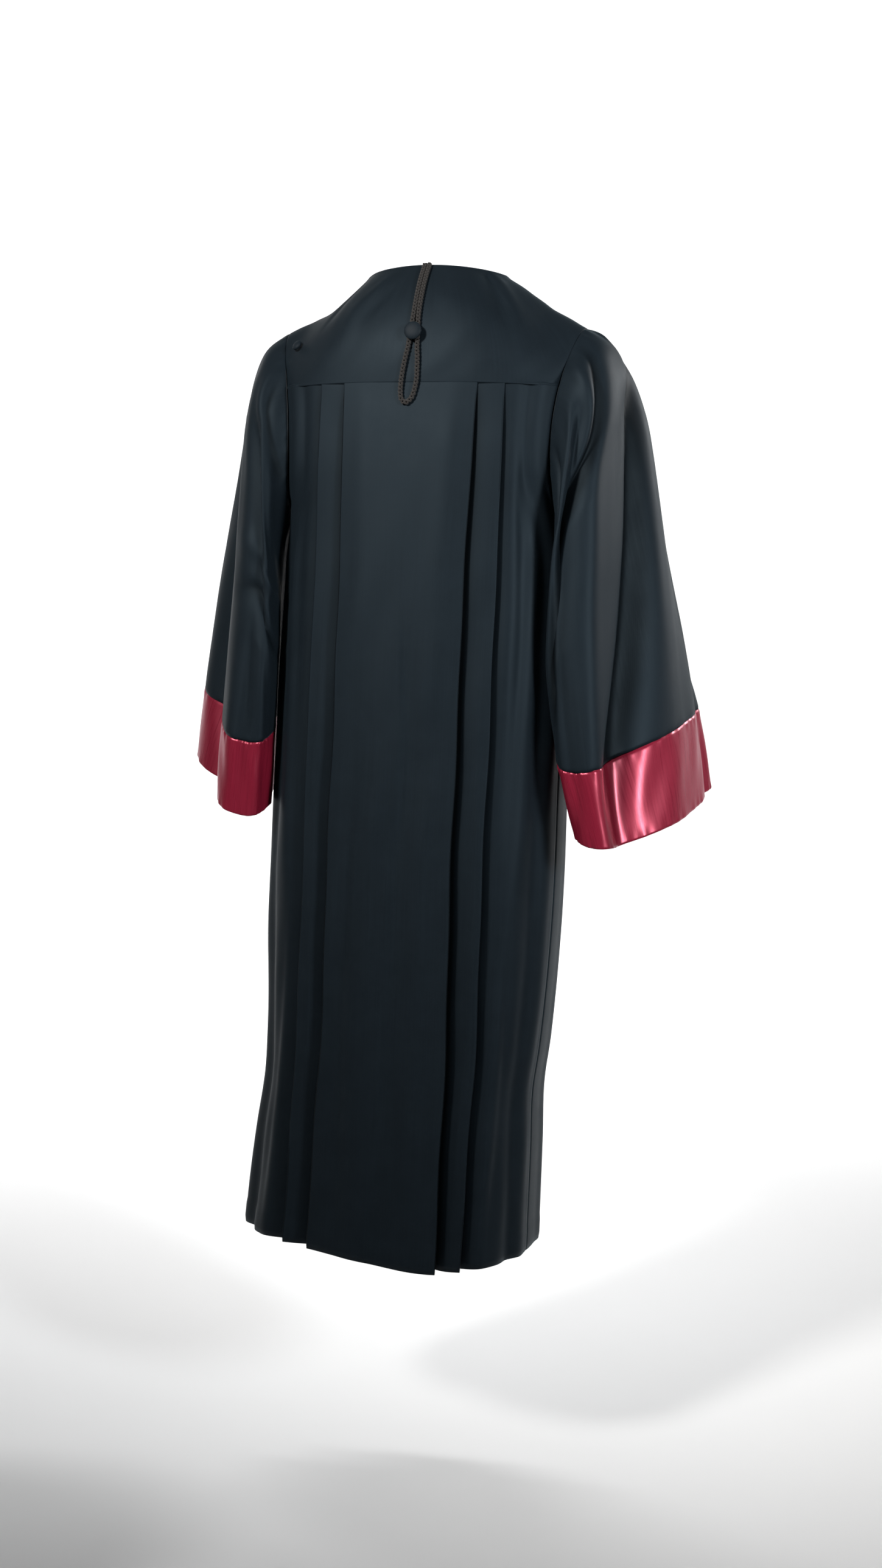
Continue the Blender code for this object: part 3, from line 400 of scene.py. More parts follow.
def section_at(z, back):
    """Half width, depth and squareness at each level; beside the armhole the width meets its edge."""
    z = np.asarray(z, float)
    back = np.broadcast_to(back, z.shape)
    depth = np.where(back, column(SECTIONS, "z", "back", z), column(SECTIONS, "z", "front", z))
    square = column(SECTIONS, "z", "square", z)
    edge = armhole_point(armhole_angle(z, back))
    y = np.maximum(np.where(back, edge[..., 1], -edge[..., 1]), 0.0)
    share = (y / depth) ** square
    beside = edge[..., 0] / (1 - share) ** (1 / square)
    below = column(SECTIONS, "z", "half_width", z)
    return np.where(z > UNDERARM_Z, beside, below), depth, square


def body_edge(z, back):
    """Side edge of a body panel at a level: on the armhole, or on the side seam below it."""
    if z >= UNDERARM_Z:
        return armhole_point(armhole_angle(z, back))
    half_width, _, square = section_at(z, back)
    depth = column(SECTIONS, "z", "back", z)
    x = half_width * (1 - (SIDE_SEAM_Y / depth) ** square) ** (1 / square)
    return np.array([x, SIDE_SEAM_Y, z])


def outline(z, back, samples=1500):
    """Half a superellipse at a level, x = w sin(t)^(2/n), y = d cos(t)^(2/n), to the side edge."""
    half_width, depth, square = (float(v) for v in section_at(z, back))
    turn = np.linspace(0, math.pi / 2, samples)
    x = half_width * np.sin(turn) ** (2 / square)
    y = depth * np.cos(turn) ** (2 / square) * (1 if back else -1)
    edge = body_edge(z, back)
    if z > UNDERARM_Z:
        keep = x < edge[0] - 1e-6
        keep &= (y > edge[1]) if back else (y < edge[1])
    elif back:
        keep = y > SIDE_SEAM_Y
    else:
        wrap_depth = float(column(SECTIONS, "z", "back", z))
        wrap_x = half_width * np.cos(turn[1:]) ** (2 / square)
        wrap_y = wrap_depth * np.sin(turn[1:]) ** (2 / square)
        inside = wrap_y < SIDE_SEAM_Y
        x = np.concatenate([x, wrap_x[inside]])
        y = np.concatenate([y, wrap_y[inside]])
        keep = np.ones(len(x), bool)
    points = np.vstack([np.stack([x[keep], y[keep]], -1), edge[:2]])
    return points, cloth_path(points)


def on_outline(points, lengths, along, rise):
    """Points at a length along an outline, moved out of it by a rise along its normal."""
    x = np.interp(along, lengths, points[:, 0])
    y = np.interp(along, lengths, points[:, 1])
    step = 0.002
    dx = np.interp(along + step, lengths, points[:, 0]) - np.interp(along - step, lengths, points[:, 0])
    dy = np.interp(along + step, lengths, points[:, 1]) - np.interp(along - step, lengths, points[:, 1])
    size = np.maximum(np.hypot(dx, dy), 1e-9)
    turn = 1.0 if points[0, 1] > 0 else -1.0
    return x - turn * dy / size * rise, y + turn * dx / size * rise


def fold_rise(folds, place, z):
    """Soft folds: bell curves round the panel whose heights grow evenly from the yoke to the hem."""
    down = np.maximum((YOKE_SEAM_Z - z) / (YOKE_SEAM_Z - HEM_Z), 0.0)
    total = 0.0
    for fold in folds:
        height = fold.height_top + (fold.height_hem - fold.height_top) * down
        total = total + height * np.exp(-((place - fold.place) / fold.width) ** 2)
    return total


def sway_at(x, z):
    """Sideways swing: the level's swing, times its share at the centre growing to 1 at the sides."""
    swing = column(SECTIONS, "z", "sway", z)
    share = np.minimum((x / column(SECTIONS, "z", "half_width", z)) ** 2, 1.0)
    return swing * (SWAY_AT_CENTRE + (1 - SWAY_AT_CENTRE) * share)


def hem_lift(x, z):
    """How far the hem is raised, fading out above it."""
    near = np.clip(1 - (z - HEM_Z) / HEM_LIFT_LENGTH, 0, 1)
    return column(HEM_LIFTS, "across", "lift", x) * near


def hem_form(z, lift, turn_up):
    """Relief of the hem, outward: a small step at the turn-up's top and a softly rounded fold."""
    height = z - HEM_Z - lift
    step = 0.0006 * (1 - rise_between(turn_up - 0.002, turn_up + 0.001, height))
    groove = -0.0006 * np.exp(-((height - turn_up) / 0.0016) ** 2)
    return step + groove - 0.0012 * np.exp(-(height / 0.0014) ** 2)


def soft_underarm(grid, levels):
    """Evens out the rows round the underarm level, where the section's width changes its rule."""
    near = 0.5 * np.exp(-((levels - UNDERARM_Z) / 0.034) ** 2)[1:-1, None]
    columns = np.linspace(-1, 1, grid.shape[1])[None, :]
    weight = (near * (1 - rise_between(0.93, 1.0, np.abs(columns))))[..., None]
    for _ in range(90):
        grid[1:-1, :, :2] += weight * (0.5 * (grid[:-2, :, :2] + grid[2:, :, :2]) - grid[1:-1, :, :2])
    return grid


def pleat_edge(number, z, side):
    """Place of a pleat's fold at a level: a smooth curve through its three widths, and a wander."""
    pleat = PLEATS[number]
    edge = smooth_curve([HEM_Z, PLEAT_WAIST_Z, YOKE_SEAM_Z],
                        [pleat.edge_hem, pleat.edge_waist, pleat.edge_top], z)
    wander = ripple(z, 10 * number + (3 if side > 0 else 5), 0.71, 0.37, 0.19)
    return edge + 0.0022 * wander * np.clip((YOKE_SEAM_Z - z) / 0.2, 0.0, 1.0)


def nearest_edge(along, z, side):
    """The last pleat fold at or before each place, or one far away ahead of the first."""
    first, second = (pleat_edge(number, z, side) for number in range(len(PLEATS)))
    return np.where(along >= second - 0.001, second, np.where(along >= first - 0.001, first, -1.0))


def pleated_half(z, length, side):
    """One side of the back at a level, unfolded order: lengths along the outline and rises.

    Strip, fold back under it, fold out again, next strip: straight runs between the folds with
    close columns beside them, and then the side, which comes back up as (1 - s)^1.3.
    """
    close = (1 - np.cos(np.linspace(0, math.pi, 40))) / 2
    short = (1 - np.cos(np.linspace(0, math.pi, 11))) / 2
    strip = (1 - np.cos(np.linspace(0, math.pi, 22))) / 2
    open_share = np.clip((YOKE_SEAM_Z - z) / (YOKE_SEAM_Z - HEM_Z), 0.0, 1.0)
    flat = rise_between(-0.010, 0.060, YOKE_SEAM_Z - z)
    pitch = SEWN_PITCH + (PLEAT_PITCH - SEWN_PITCH) * flat
    start, level = 0.0, 0.0
    along, rise = [], []
    for number, pleat in enumerate(PLEATS):
        edge = pleat_edge(number, z, side)
        dip = pleat.dip_top + (pleat.dip_hem - pleat.dip_top) * open_share ** 0.65
        dip = 2.0 * SEWN_PITCH + (dip - 2.0 * SEWN_PITCH) * flat
        under = edge - pleat.depth
        edge_level = level * (1 - pleat.rise)
        run = close if number == 0 else strip
        along.append(start + (edge - start) * run)
        rise.append(level + (edge_level - level) * run)
        upper = level + (edge_level - level) * (under - start) / (edge - start)
        along.append(edge + (under - edge) * short)
        rise.append(edge_level - pitch + (upper - dip / 2 - edge_level + pitch) * short)
        along.append(under + (edge - under) * short)
        rise.append(upper - dip / 2 - pitch + (edge_level - dip - upper + dip / 2 + pitch) * short)
        start, level = edge, edge_level - dip
    run = np.linspace(0, 1, 36) ** 1.15
    last = start + (length - start) * run
    along.append(last)
    rise.append(level * np.maximum(0.0, 1 - (last - start) / SIDE_RISE_LENGTH) ** 1.3)
    return np.concatenate(along), np.concatenate(rise)


def soften(values, times=2):
    """Rounds the folds: each inner value becomes a quarter, a half and a quarter of three."""
    for _ in range(times):
        values = np.concatenate([values[:1], 0.25 * values[:-2] + 0.5 * values[1:-1] + 0.25 * values[2:],
                                 values[-1:]])
    return values


def back_surface(sizes):
    """Pleated back: at each level the two pleated halves stand on the level's outline. Also returns painted shade for
    each point, dark in the pleats' crevices.
    """
    share = np.linspace(0, 1, sizes.back_rows)
    levels = YOKE_SEAM_Z + (HEM_Z - YOKE_SEAM_Z) * (0.75 * share + 0.25 * share**2)
    levels = np.concatenate([YOKE_SEAM_Z + YOKE_LAP * np.array([1.0, 0.55, 0.32, 0.16, 0.06]), levels])
    rows, painted_shades = [], []
    for z in levels:
        points, lengths = outline(z, True)
        total = lengths[-1]
        halves, painted_shade_halves = [], []
        for side in (-1, 1):
            along, rise = pleated_half(z, total, side)
            along, rise = soften(along), soften(rise)
            # Painted shade: full under the overlapping strips, a soft band beside each fold where the cloth lies
            # deeper, and a thin painted contact shadow along each fold's edge that fades in just below the yoke;
            # weaker past the outer pleat.
            below = (along - np.maximum.accumulate(along)) < -0.0008
            gap = np.abs(along - nearest_edge(along, z, side))
            near = np.exp(-np.maximum(gap - 0.004, 0) / 0.005) * np.clip(-rise / 0.007, 0, 1)
            line = np.exp(-(np.maximum(gap - 0.0018, 0) / 0.0012) ** 2) * rise_between(0.0, 0.02, YOKE_SEAM_Z - z)
            near = np.maximum(near, line) * np.where(along >= pleat_edge(1, z, side) - 0.001, 0.6, 1.0)
            painted_shade_halves.append(np.where(below, 1.0, near))
            rise = rise + fold_rise(BACK_FOLDS, along / total, z)
            x_flat = side * along
            rise = rise + crease_height(BACK_CREASES, "both", x_flat, z) * (1 - rise_between(0.9, 1.0, along / total))
            rise = rise + 0.0006 * ripple(x_flat + 0.4 * z, 8, 0.11, 0.067) * rise_between(0.0, 0.3, YOKE_SEAM_Z - z)
            rise = rise * (1 - rise_between(0.97, 1.0, along / total))
            rise = rise - sizes.seam_roll * np.exp(-((total - along) / 0.0016) ** 2)
            rise = rise - YOKE_LAP_DEPTH * rise_between(0.0001, 0.0013, z - YOKE_SEAM_Z)
            rise = rise + hem_form(z, 0.0, sizes.hem_turn_up)
            x, y = on_outline(points, lengths, along, rise)
            halves.append((side * x, y))
        painted_shades.append(np.concatenate([painted_shade_halves[0][:0:-1], painted_shade_halves[1]]))
        right, left = halves
        x = np.concatenate([right[0][:0:-1], left[0]])
        y = np.concatenate([right[1][:0:-1], left[1]])
        rows.append(np.stack([x, y, np.full(len(x), z)], -1))
    grid = soft_underarm(np.array(rows), levels)
    grid[..., 2] += hem_lift(grid[..., 0], grid[..., 2])
    grid[..., 0] += sway_at(grid[..., 0], grid[..., 2])
    return grid, np.array(painted_shades)


def neck_edge(turn):
    """Neck edge on the wearer's left: x = w sin(t), y by cos(t), falling as cos(t)^p in front."""
    turn = np.asarray(turn, float)
    forward = np.maximum(-np.cos(turn), 0.0)
    behind = np.maximum(np.cos(turn), 0.0)
    x = NECK_HALF_WIDTH * np.sin(turn)
    y = NECK_BACK_Y * behind - NECK_FRONT_Y * forward
    z = NECK_RISE * behind ** 2 - NECK_DROP * forward ** NECK_DROP_POWER
    return np.stack([x, y, z], -1)


def neck_turn_at(z):
    return math.pi - math.acos((-z / NECK_DROP) ** (1 / NECK_DROP_POWER))


FRONT_SEAM_SHARE = 0.62


def front_top(share):
    """Top edge of a front from the armhole (0) to the centre front (1): yoke seam, then neck edge."""
    share = np.asarray(share, float)
    end_turn = neck_turn_at(FRONT_SEAM_Z)
    points, lengths = outline(FRONT_SEAM_Z, False)
    neck_x = float(neck_edge(end_turn)[0])
    neck_along = float(np.interp(neck_x, points[:, 0], lengths))
    along = lengths[-1] + (neck_along - lengths[-1]) * np.minimum(share / FRONT_SEAM_SHARE, 1.0)
    x, y = on_outline(points, lengths, along, 0.0)
    seam = np.stack([x, y, np.full_like(x, FRONT_SEAM_Z)], -1)
    turn = end_turn + (math.pi - end_turn) * np.maximum(share - FRONT_SEAM_SHARE, 0) / (1 - FRONT_SEAM_SHARE)
    return np.where(share[..., None] <= FRONT_SEAM_SHARE, seam, neck_edge(turn))


def front_surface(sizes, side):
    """A front, side seam to centre front.

    Levels near the top are stretched so the first row is the yoke seam and neck edge. Each point
    is its level's outline at its share of the length, looked up between computed outlines.
    """
    shares = np.linspace(0, 1, sizes.front_columns)
    top = front_top(shares)
    down = np.linspace(0, 1, sizes.front_rows) ** 1.1
    z = FRONT_SEAM_Z + (HEM_Z - FRONT_SEAM_Z) * down[:, None]
    mix_z = UNDERARM_Z - 0.045
    start = top[None, :, 2]
    level = np.where(z > mix_z, start + (z - FRONT_SEAM_Z) * (mix_z - start) / (mix_z - FRONT_SEAM_Z), z)
    table_z = np.linspace(-0.100, HEM_Z, 240)
    table = []
    for row_z in table_z:
        points, lengths = outline(row_z, False)
        along = lengths[-1] * (1 - shares)
        straight = np.stack(on_outline(points, lengths, along, 0.0), -1)
        raised = np.stack(on_outline(points, lengths, along, 1.0), -1)
        table.append(np.concatenate([straight, raised - straight], -1))
    table = np.array(table)
    place = (table_z[0] - level) / (table_z[0] - table_z[-1]) * (len(table_z) - 1)
    low = np.clip(np.floor(place).astype(int), 0, len(table_z) - 2)
    part = (place - low)[..., None]
    columns = np.broadcast_to(np.arange(len(shares)), low.shape)
    found = table[low, columns] * (1 - part) + table[low + 1, columns] * part
    edge = rise_between(0.0, 0.05, shares) * (1 - rise_between(0.95, 1.0, shares))
    rise = fold_rise(FRONT_FOLDS, 1 - shares[None, :], level) * edge
    word = "left" if side > 0 else "right"
    rise = rise + crease_height(FRONT_CREASES, word, np.abs(found[..., 0]), level) * edge
    rise = rise + hem_form(level, 0.0, sizes.hem_turn_up)
    rise = rise - sizes.seam_roll * np.exp(-((z - FRONT_SEAM_Z) / 0.0016) ** 2)
    centre_gap = np.abs(found[..., 0])
    rise = rise - sizes.seam_roll * np.exp(-(centre_gap / 0.0016) ** 2)
    side_gap = (1 - rise_between(0.0, 0.008, shares))[None, :]
    rise = rise - sizes.seam_roll * side_gap
    grid = np.concatenate([found[..., :2] + found[..., 2:] * rise[..., None], level[..., None]], -1)
    blend = np.clip((z - mix_z) / (FRONT_SEAM_Z - mix_z), 0, 1)[..., None] ** 2
    grid = grid + (top[None] - grid[:1]) * blend
    grid[:, -1, 0] = SEAM_GAP / 2
    grid[..., 0] *= side
    lift = (1 - shares[None, :]) ** 2 * hem_lift(grid[..., 0], grid[..., 2])
    grid[..., 0] += sway_at(grid[..., 0], grid[..., 2])
    grid[..., 2] += lift
    return grid


def yoke_outer(columns):
    """Outer edge of the yoke's left half: back seam to 7, armhole to 17, front seam to 20."""
    points, lengths = outline(YOKE_SEAM_Z, True)
    back_share = np.interp(columns, [0, 6, 7], [0.0, 0.84, 1.0])
    x, y = on_outline(points, lengths, back_share * lengths[-1], 0.0)
    back = np.stack([x, y, np.full_like(x, YOKE_SEAM_Z)], -1)
    first = armhole_angle(YOKE_SEAM_Z, True)
    last = armhole_angle(FRONT_SEAM_Z, False)
    arm = armhole_point(first + (last - first) * np.clip((columns - 7) / 10, 0, 1))
    front = front_top(FRONT_SEAM_SHARE * np.interp(columns, [17, 18, 19, 20], [0.0, 0.3, 0.6, 1.0]))
    at = columns[:, None]
    return np.where(at < 7, back, np.where(at <= 17, arm, front))


def yoke_inner(columns):
    end_turn = neck_turn_at(FRONT_SEAM_Z + SEAM_GAP / 2)
    return neck_edge(smooth_curve([0.0, 6.0, 12.0, 20.0], [0.0, 0.80, 1.62, end_turn - 0.12], columns))


def yoke_between(inner, outer, shares, hollow=SHOULDER_HOLLOW):
    """Yoke between two edges: plan by 1 - (1 - s)^p, fuller behind, height by s with a shoulder dip."""
    behind = np.clip(outer[:, 1] / 0.108, 0, 1)
    ahead = np.clip(-outer[:, 1] / 0.075, 0, 1)
    power = (1.0 + 1.6 * behind ** 2 + 0.7 * ahead)[None, :]
    share = np.asarray(shares)[:, None]
    flat = 1 - (1 - share) ** power
    over = np.clip(1 - np.abs(outer[:, 1]) / SHOULDER_REACH, 0, 1)[None, :]
    down = share + hollow * over * np.sin(math.pi * share) * (1 - share)
    plan = inner[None, :, :2] + (outer - inner)[None, :, :2] * flat[..., None]
    height = inner[None, :, 2] + (outer - inner)[None, :, 2] * down
    return np.concatenate([plan, height[..., None]], -1)


def grid_normals(grid, closed=False):
    """Unit normals: the cross product of the grid's steps across and along."""
    if closed:
        across = np.roll(grid, -1, axis=1) - np.roll(grid, 1, axis=1)
    else:
        across = np.gradient(grid, axis=1)
    along = np.gradient(grid, axis=0)
    normal = np.cross(across, along)
    return normal / np.maximum(np.linalg.norm(normal, axis=-1, keepdims=True), 1e-12)


def yoke_back_share(columns):
    """1 along the back seam, which lies flat over the back, 0 round the armholes and in front."""
    half = 1 - rise_between(6.6, 7.4, columns)
    return np.concatenate([half[:0:-1], half])


def yoke_surface(sizes):
    """Whole yoke: both halves between neck and outer edge, with creases and turned edges."""
    columns = np.unique(np.concatenate([np.linspace(0, 7, 44), np.linspace(7, 17, 50), np.linspace(17, 20, 20)]))
    shares = np.linspace(0, 1, sizes.yoke_rows)
    shares = 0.5 * shares + 0.5 * (1 - np.cos(math.pi * shares)) / 2
    inner, outer = yoke_inner(columns), yoke_outer(columns)
    halves = []
    round_off = 0.5 * np.sin(math.pi * shares)[:, None, None] ** 0.6 * np.exp(-((columns - 7.5) / 3.2) ** 2)[:, None]
    for hollow in (SHOULDER_HOLLOW_RIGHT, SHOULDER_HOLLOW):
        half = yoke_between(inner, outer, shares, hollow)
        for _ in range(260):
            middle = 0.5 * (half[:, :-2] + half[:, 2:]) - half[:, 1:-1]
            half[:, 1:-1] += round_off[:, 1:-1] * middle
        halves.append(half)
    other = halves[0][:, :0:-1]
    other[..., 0] *= -1
    grid = np.concatenate([other, halves[1]], axis=1)
    normal = grid_normals(grid)
    outward = np.sign((normal[..., 2] + 0.3 * normal[..., 1] * np.sign(grid[..., 1])).sum())
    normal = normal * outward
    span = np.linalg.norm(grid[-1] - grid[0], axis=-1)[None, :]
    from_neck = shares[:, None] * span
    to_edge = (1 - shares[:, None]) * span
    height = crease_height(YOKE_CREASES, "both", grid[..., 0], grid[..., 1])
    height = height * rise_between(0.0, 0.012, from_neck) * rise_between(0.0, 0.010, to_edge)
    height = height + 0.0005 * ripple(grid[..., 0] * 1.0 + grid[..., 2] * 0.7, 21, 0.083, 0.051) \
        * rise_between(0.0, 0.03, to_edge) * rise_between(0.0, 0.02, from_neck)
    edge_roll = sizes.seam_roll * np.clip(1 - yoke_back_share(columns), 0.08, 1.0)[None, :]
    height = height - edge_roll * np.exp(-(to_edge / 0.0014) ** 2)
    height = height + 0.0005 * np.exp(-((from_neck - 0.003) / 0.002) ** 2)
    height = height - 0.0010 * np.exp(-(from_neck / 0.0012) ** 2)
    return grid + normal * height[..., None]


# ---------------------------------------------------------------- sleeves
def sleeve_corners(along, side):
    """The four points of each section, with the arm's own hang growing towards the mouth."""
    keys = np.arange(len(STATIONS), dtype=float)
    to_band = np.clip((along - HANG_START) / (BAND_STATION - HANG_START), 0, 1)[:, None]
    to_mouth = np.maximum(along - BAND_STATION, 0)[:, None]
    corners = []
    for hang in HANGS:
        if hang.side != ("left" if side > 0 else "right"):
            continue
        values = np.array([getattr(station, hang.corner) for station in STATIONS])
        at_band = np.array(hang.at_band)
        shift = at_band * to_band ** 2 + (np.array(hang.at_mouth) - at_band) * to_mouth
        corners.append(smooth_curve(keys, values, along) + shift)
    return corners


def sleeve_fold_height(angles, along, side):
    """Large folds: bell curves whose angle, height and place run evenly down the sleeve."""
    total = np.zeros(np.broadcast(angles, along).shape)
    for fold in SLEEVE_FOLDS:
        if fold.side not in ("both", side):
            continue
        share = np.clip((along - fold.first) / (MOUTH_STATION - fold.first), 0, 1)
        present = np.clip((along - fold.first) / 0.8, 0, 1) * np.clip((fold.last - along) / 0.8, 0, 1)
        middle = np.radians(fold.angle_top + (fold.angle_end - fold.angle_top) * share)
        away = (angles - middle + math.pi) % (2 * math.pi) - math.pi
        height = (fold.top + (fold.end - fold.top) * share) * present
        total += height * np.exp(-(away / math.radians(fold.width)) ** 2)
    return total


def sleeve_creases(angles, along, side):
    """Small creases, laid out on the sleeve's own flat measures: turn times radius, and length down."""
    rear = np.array([station.rear for station in STATIONS])
    lengths = cloth_path(rear)
    radius = np.interp(along, [0.0, 3.0, MOUTH_STATION], [0.085, 0.095, 0.105])
    turned = (np.degrees(angles) + 90.0) % 360.0 - 90.0
    across = np.radians(turned) * radius
    down = np.interp(along, np.arange(len(STATIONS)), lengths)
    placed = []
    for crease in SLEEVE_CREASES:
        stations = np.array([point[1] for point in crease.points], float)
        turns = np.radians([point[0] for point in crease.points])
        reach = np.interp(stations, [0.0, 3.0, MOUTH_STATION], [0.085, 0.095, 0.105])
        places = np.stack([turns * reach, np.interp(stations, np.arange(len(STATIONS)), lengths)], -1)
        placed.append(crease._replace(points=places))
    return crease_height(placed, side, across, down)


def clear_of_body(points, along, side):
    """Moves a sleeve's points straight out from the body's axis to where they clear its outline."""
    clear = REST_GAP * np.minimum(1.0, along / 0.5)
    back = points[..., 1] >= 0
    half_width, depth, square = section_at(np.minimum(points[..., 2], YOKE_SEAM_Z), back)
    sway = side * sway_at(points[..., 0], points[..., 2])
    x = points[..., 0] - sway
    y = points[..., 1]
    reach = ((np.abs(x) / half_width) ** square + (np.abs(y) / depth) ** square) ** (1 / square)
    wanted = 1 + clear / np.hypot(x, y)
    grow = 1 + np.maximum(wanted / reach - 1, 0.0) * np.clip(along / 0.5, 0.0, 1.0)
    moved = points.copy()
    moved[..., 0] = np.where(grow > 1, x * grow + sway, points[..., 0])
    moved[..., 1] = y * grow
    return moved


def sleeve_painted_shade(along, columns, side):
    """Painted shade in the creases, from how deep each point lies: 0 above 1 mm, 0.85 from 7 mm down."""
    angles = (np.arange(columns) * 2 * math.pi / columns)[None, :]
    word = "left" if side > 0 else "right"
    height = sleeve_creases(angles, along[:, None], word)
    return 0.85 * rise_between(0.001, 0.007, -height)


def sleeve_surface(along, columns, side, relief):
    """Sleeve between stations: loops through the four points, then folds along the normal."""
    angles = np.arange(columns) * 2 * math.pi / columns
    outer, under, rear, front = sleeve_corners(along, side)
    square = (1.0 + (RING_SQUARE - 1.0) * np.minimum(along, 1.0))[:, None, None]
    wide = np.broadcast_to(angles, (len(along), columns))
    points = loop_through(outer[:, None], under[:, None], rear[:, None], front[:, None], wide, square)
    normal = grid_normals(points, closed=True)
    away = points - points.mean(axis=1, keepdims=True)
    normal = normal * np.sign((away * normal).sum())
    down = along[:, None]
    word = "left" if side > 0 else "right"
    height = sleeve_fold_height(angles[None, :], down, word) + sleeve_creases(angles[None, :], down, word)
    height = height * rise_between(-0.05, 0.35, down)
    height = height + relief
    points = points + normal * height[..., None]
    start = np.clip(1 - down / 0.5, 0, 1)
    under_arm = np.maximum(-np.sin(angles), 0.0)[None, :] ** 2
    at_side = np.abs(np.cos(angles))[None, :]
    set_out = SLEEVE_SET_TOP + (SLEEVE_SET_SIDE - SLEEVE_SET_TOP) * at_side
    set_out = set_out + (SLEEVE_SET_UNDER - SLEEVE_SET_TOP) * under_arm
    points[..., 0] += set_out * start
    points = clear_of_body(points, down, side)
    points[..., 0] *= side
    round_off = 0.5 * (rise_between(0.0, 0.4, along) * (1 - rise_between(2.6, 3.6, along)))[1:-1, None, None]
    for _ in range(60):
        points[1:-1] += round_off * (0.5 * (points[:-2] + points[2:]) - points[1:-1])
    return points


def sleeve_relief(sizes, along, columns, side):
    """Fine relief of the sleeve: turned seams at both ends, easing puckers and a slight unevenness."""
    angles = np.linspace(0, 2 * math.pi, columns, endpoint=False)[None, :]
    down = along[:, None]
    seed = 31 if side > 0 else 32
    turns = angles / (2 * math.pi)
    pucker = ripple(turns, seed, 1 / 29, 1 / 37, 1 / 23)
    relief = 0.0008 * pucker * np.exp(-(down / 0.30) ** 2) * rise_between(0.0, 0.05, down)
    relief = relief + 0.0006 * ripple(turns, seed + 4, 1 / 31, 1 / 23, 1 / 41) \
        * np.exp(-((BAND_STATION - down) / 0.10) ** 2)
    relief = relief - sizes.seam_roll * np.exp(-(down / 0.04) ** 2)
    relief = relief - sizes.seam_roll * np.exp(-((BAND_STATION - down) / 0.016) ** 2)
    relief = relief + 0.0009 * ripple(turns + 0.03 * down, seed + 8, 1 / 7, 1 / 11) * rise_between(0.5, 2.0, down)
    return relief


def band_relief(sizes, along, columns, side):
    """Relief of the satin band: turned top seam, folded mouth, puckers beside both, slack waves."""
    angles = np.linspace(0, 2 * math.pi, columns, endpoint=False)[None, :]
    down = along[:, None] - BAND_STATION
    seed = 51 if side > 0 else 52
    turns = angles / (2 * math.pi)
    pucker = ripple(turns + 0.01 * down, seed, 1 / 31, 1 / 43, 1 / 57)
    relief = 0.0009 * pucker * (np.exp(-(down / 0.10) ** 2) + 0.8 * np.exp(-((1 - down) / 0.10) ** 2))
    relief = relief - sizes.seam_roll * np.exp(-(down / 0.016) ** 2)
    relief = relief - 0.0012 * np.exp(-((1 - down) / 0.010) ** 2)
    relief = relief + 0.0020 * ripple(turns + 0.05 * down, seed + 3, 1 / 9, 1 / 14) * np.sin(math.pi * down)
    return relief


# ---------------------------------------------------------------- small pieces
def back_line(z):
    """Depth of the gown at the centre back at a level, yoke above and pleated back below."""
    z = np.asarray(z, float)
    share = np.clip((NECK_RISE - z) / (NECK_RISE - YOKE_SEAM_Z), 0, 1)
    depth = float(column(SECTIONS, "z", "back", YOKE_SEAM_Z))
    above = NECK_BACK_Y + (depth - NECK_BACK_Y) * (1 - (1 - share) ** 2.6)
    return np.where(z > YOKE_SEAM_Z, above, column(SECTIONS, "z", "back", z))


def cord_route(step):
    """Centre line of the loop: down one side, round its end and up the other, evenly spaced."""
    half = np.array(CORD_HALF_ROUTE)
    levels = np.concatenate([half[:, 0], [CORD_END_Z], half[::-1, 0]])
    across = np.concatenate([half[:, 1], [0.0], -half[::-1, 1]])
    low = np.clip((BACK_BUTTON_Z - levels) / (BACK_BUTTON_Z - CORD_END_Z), 0, 1)
    across = across + BACK_BUTTON_X + CORD_END_SWAY * low ** 1.5
    points = np.stack([across, back_line(levels), levels], -1)
    slope = (back_line(levels + 0.003) - back_line(levels - 0.003)) / 0.006
    lean = np.hypot(1.0, slope)
    points[:, 1] += CORD_LIFT / lean
    points[:, 2] -= CORD_LIFT * slope / lean
    lengths = cloth_path(points)
    even = smooth_curve(lengths, points, np.linspace(0, lengths[-1], int(lengths[-1] / step) + 1))
    return even


def tube_along(path, radius, sides):
    """Round tube about a path: circles of the radius in each point's own side and lift directions."""
    ahead = np.gradient(path, axis=0)
    ahead /= np.linalg.norm(ahead, axis=1, keepdims=True)
    lift = np.cross(np.cross(ahead, [0.0, 1.0, 0.0]), ahead)
    lift /= np.maximum(np.linalg.norm(lift, axis=1, keepdims=True), 1e-9)
    aside = np.cross(ahead, lift)
    turn = np.linspace(0, 2 * math.pi, sides, endpoint=False)
    ring = np.cos(turn)[None, :, None] * aside[:, None] + np.sin(turn)[None, :, None] * lift[:, None]
    return path[:, None] + radius * ring


def braid_strands(route, sizes):
    """Round braid: strands wind both ways round the route as helices and weave in and out."""
    lengths = cloth_path(route)
    ahead = np.gradient(route, axis=0)
    ahead /= np.linalg.norm(ahead, axis=1, keepdims=True)
    lift = np.cross(np.cross(ahead, [0.0, 1.0, 0.0]), ahead)
    lift /= np.linalg.norm(lift, axis=1, keepdims=True)
    aside = np.cross(ahead, lift)
    strands = []
    count = 2
    for way in (-1, 1):
        for number in range(count):
            turn = way * 2 * math.pi * lengths / sizes.braid_pitch + 2 * math.pi * number / count
            weave = 0.00045 * way * np.cos(2 * count * math.pi * lengths / sizes.braid_pitch)
            strands.append(route + aside * (0.0021 * np.cos(turn))[:, None]
                           + lift * ((0.0012 + weave) * np.sin(turn))[:, None])
    return strands


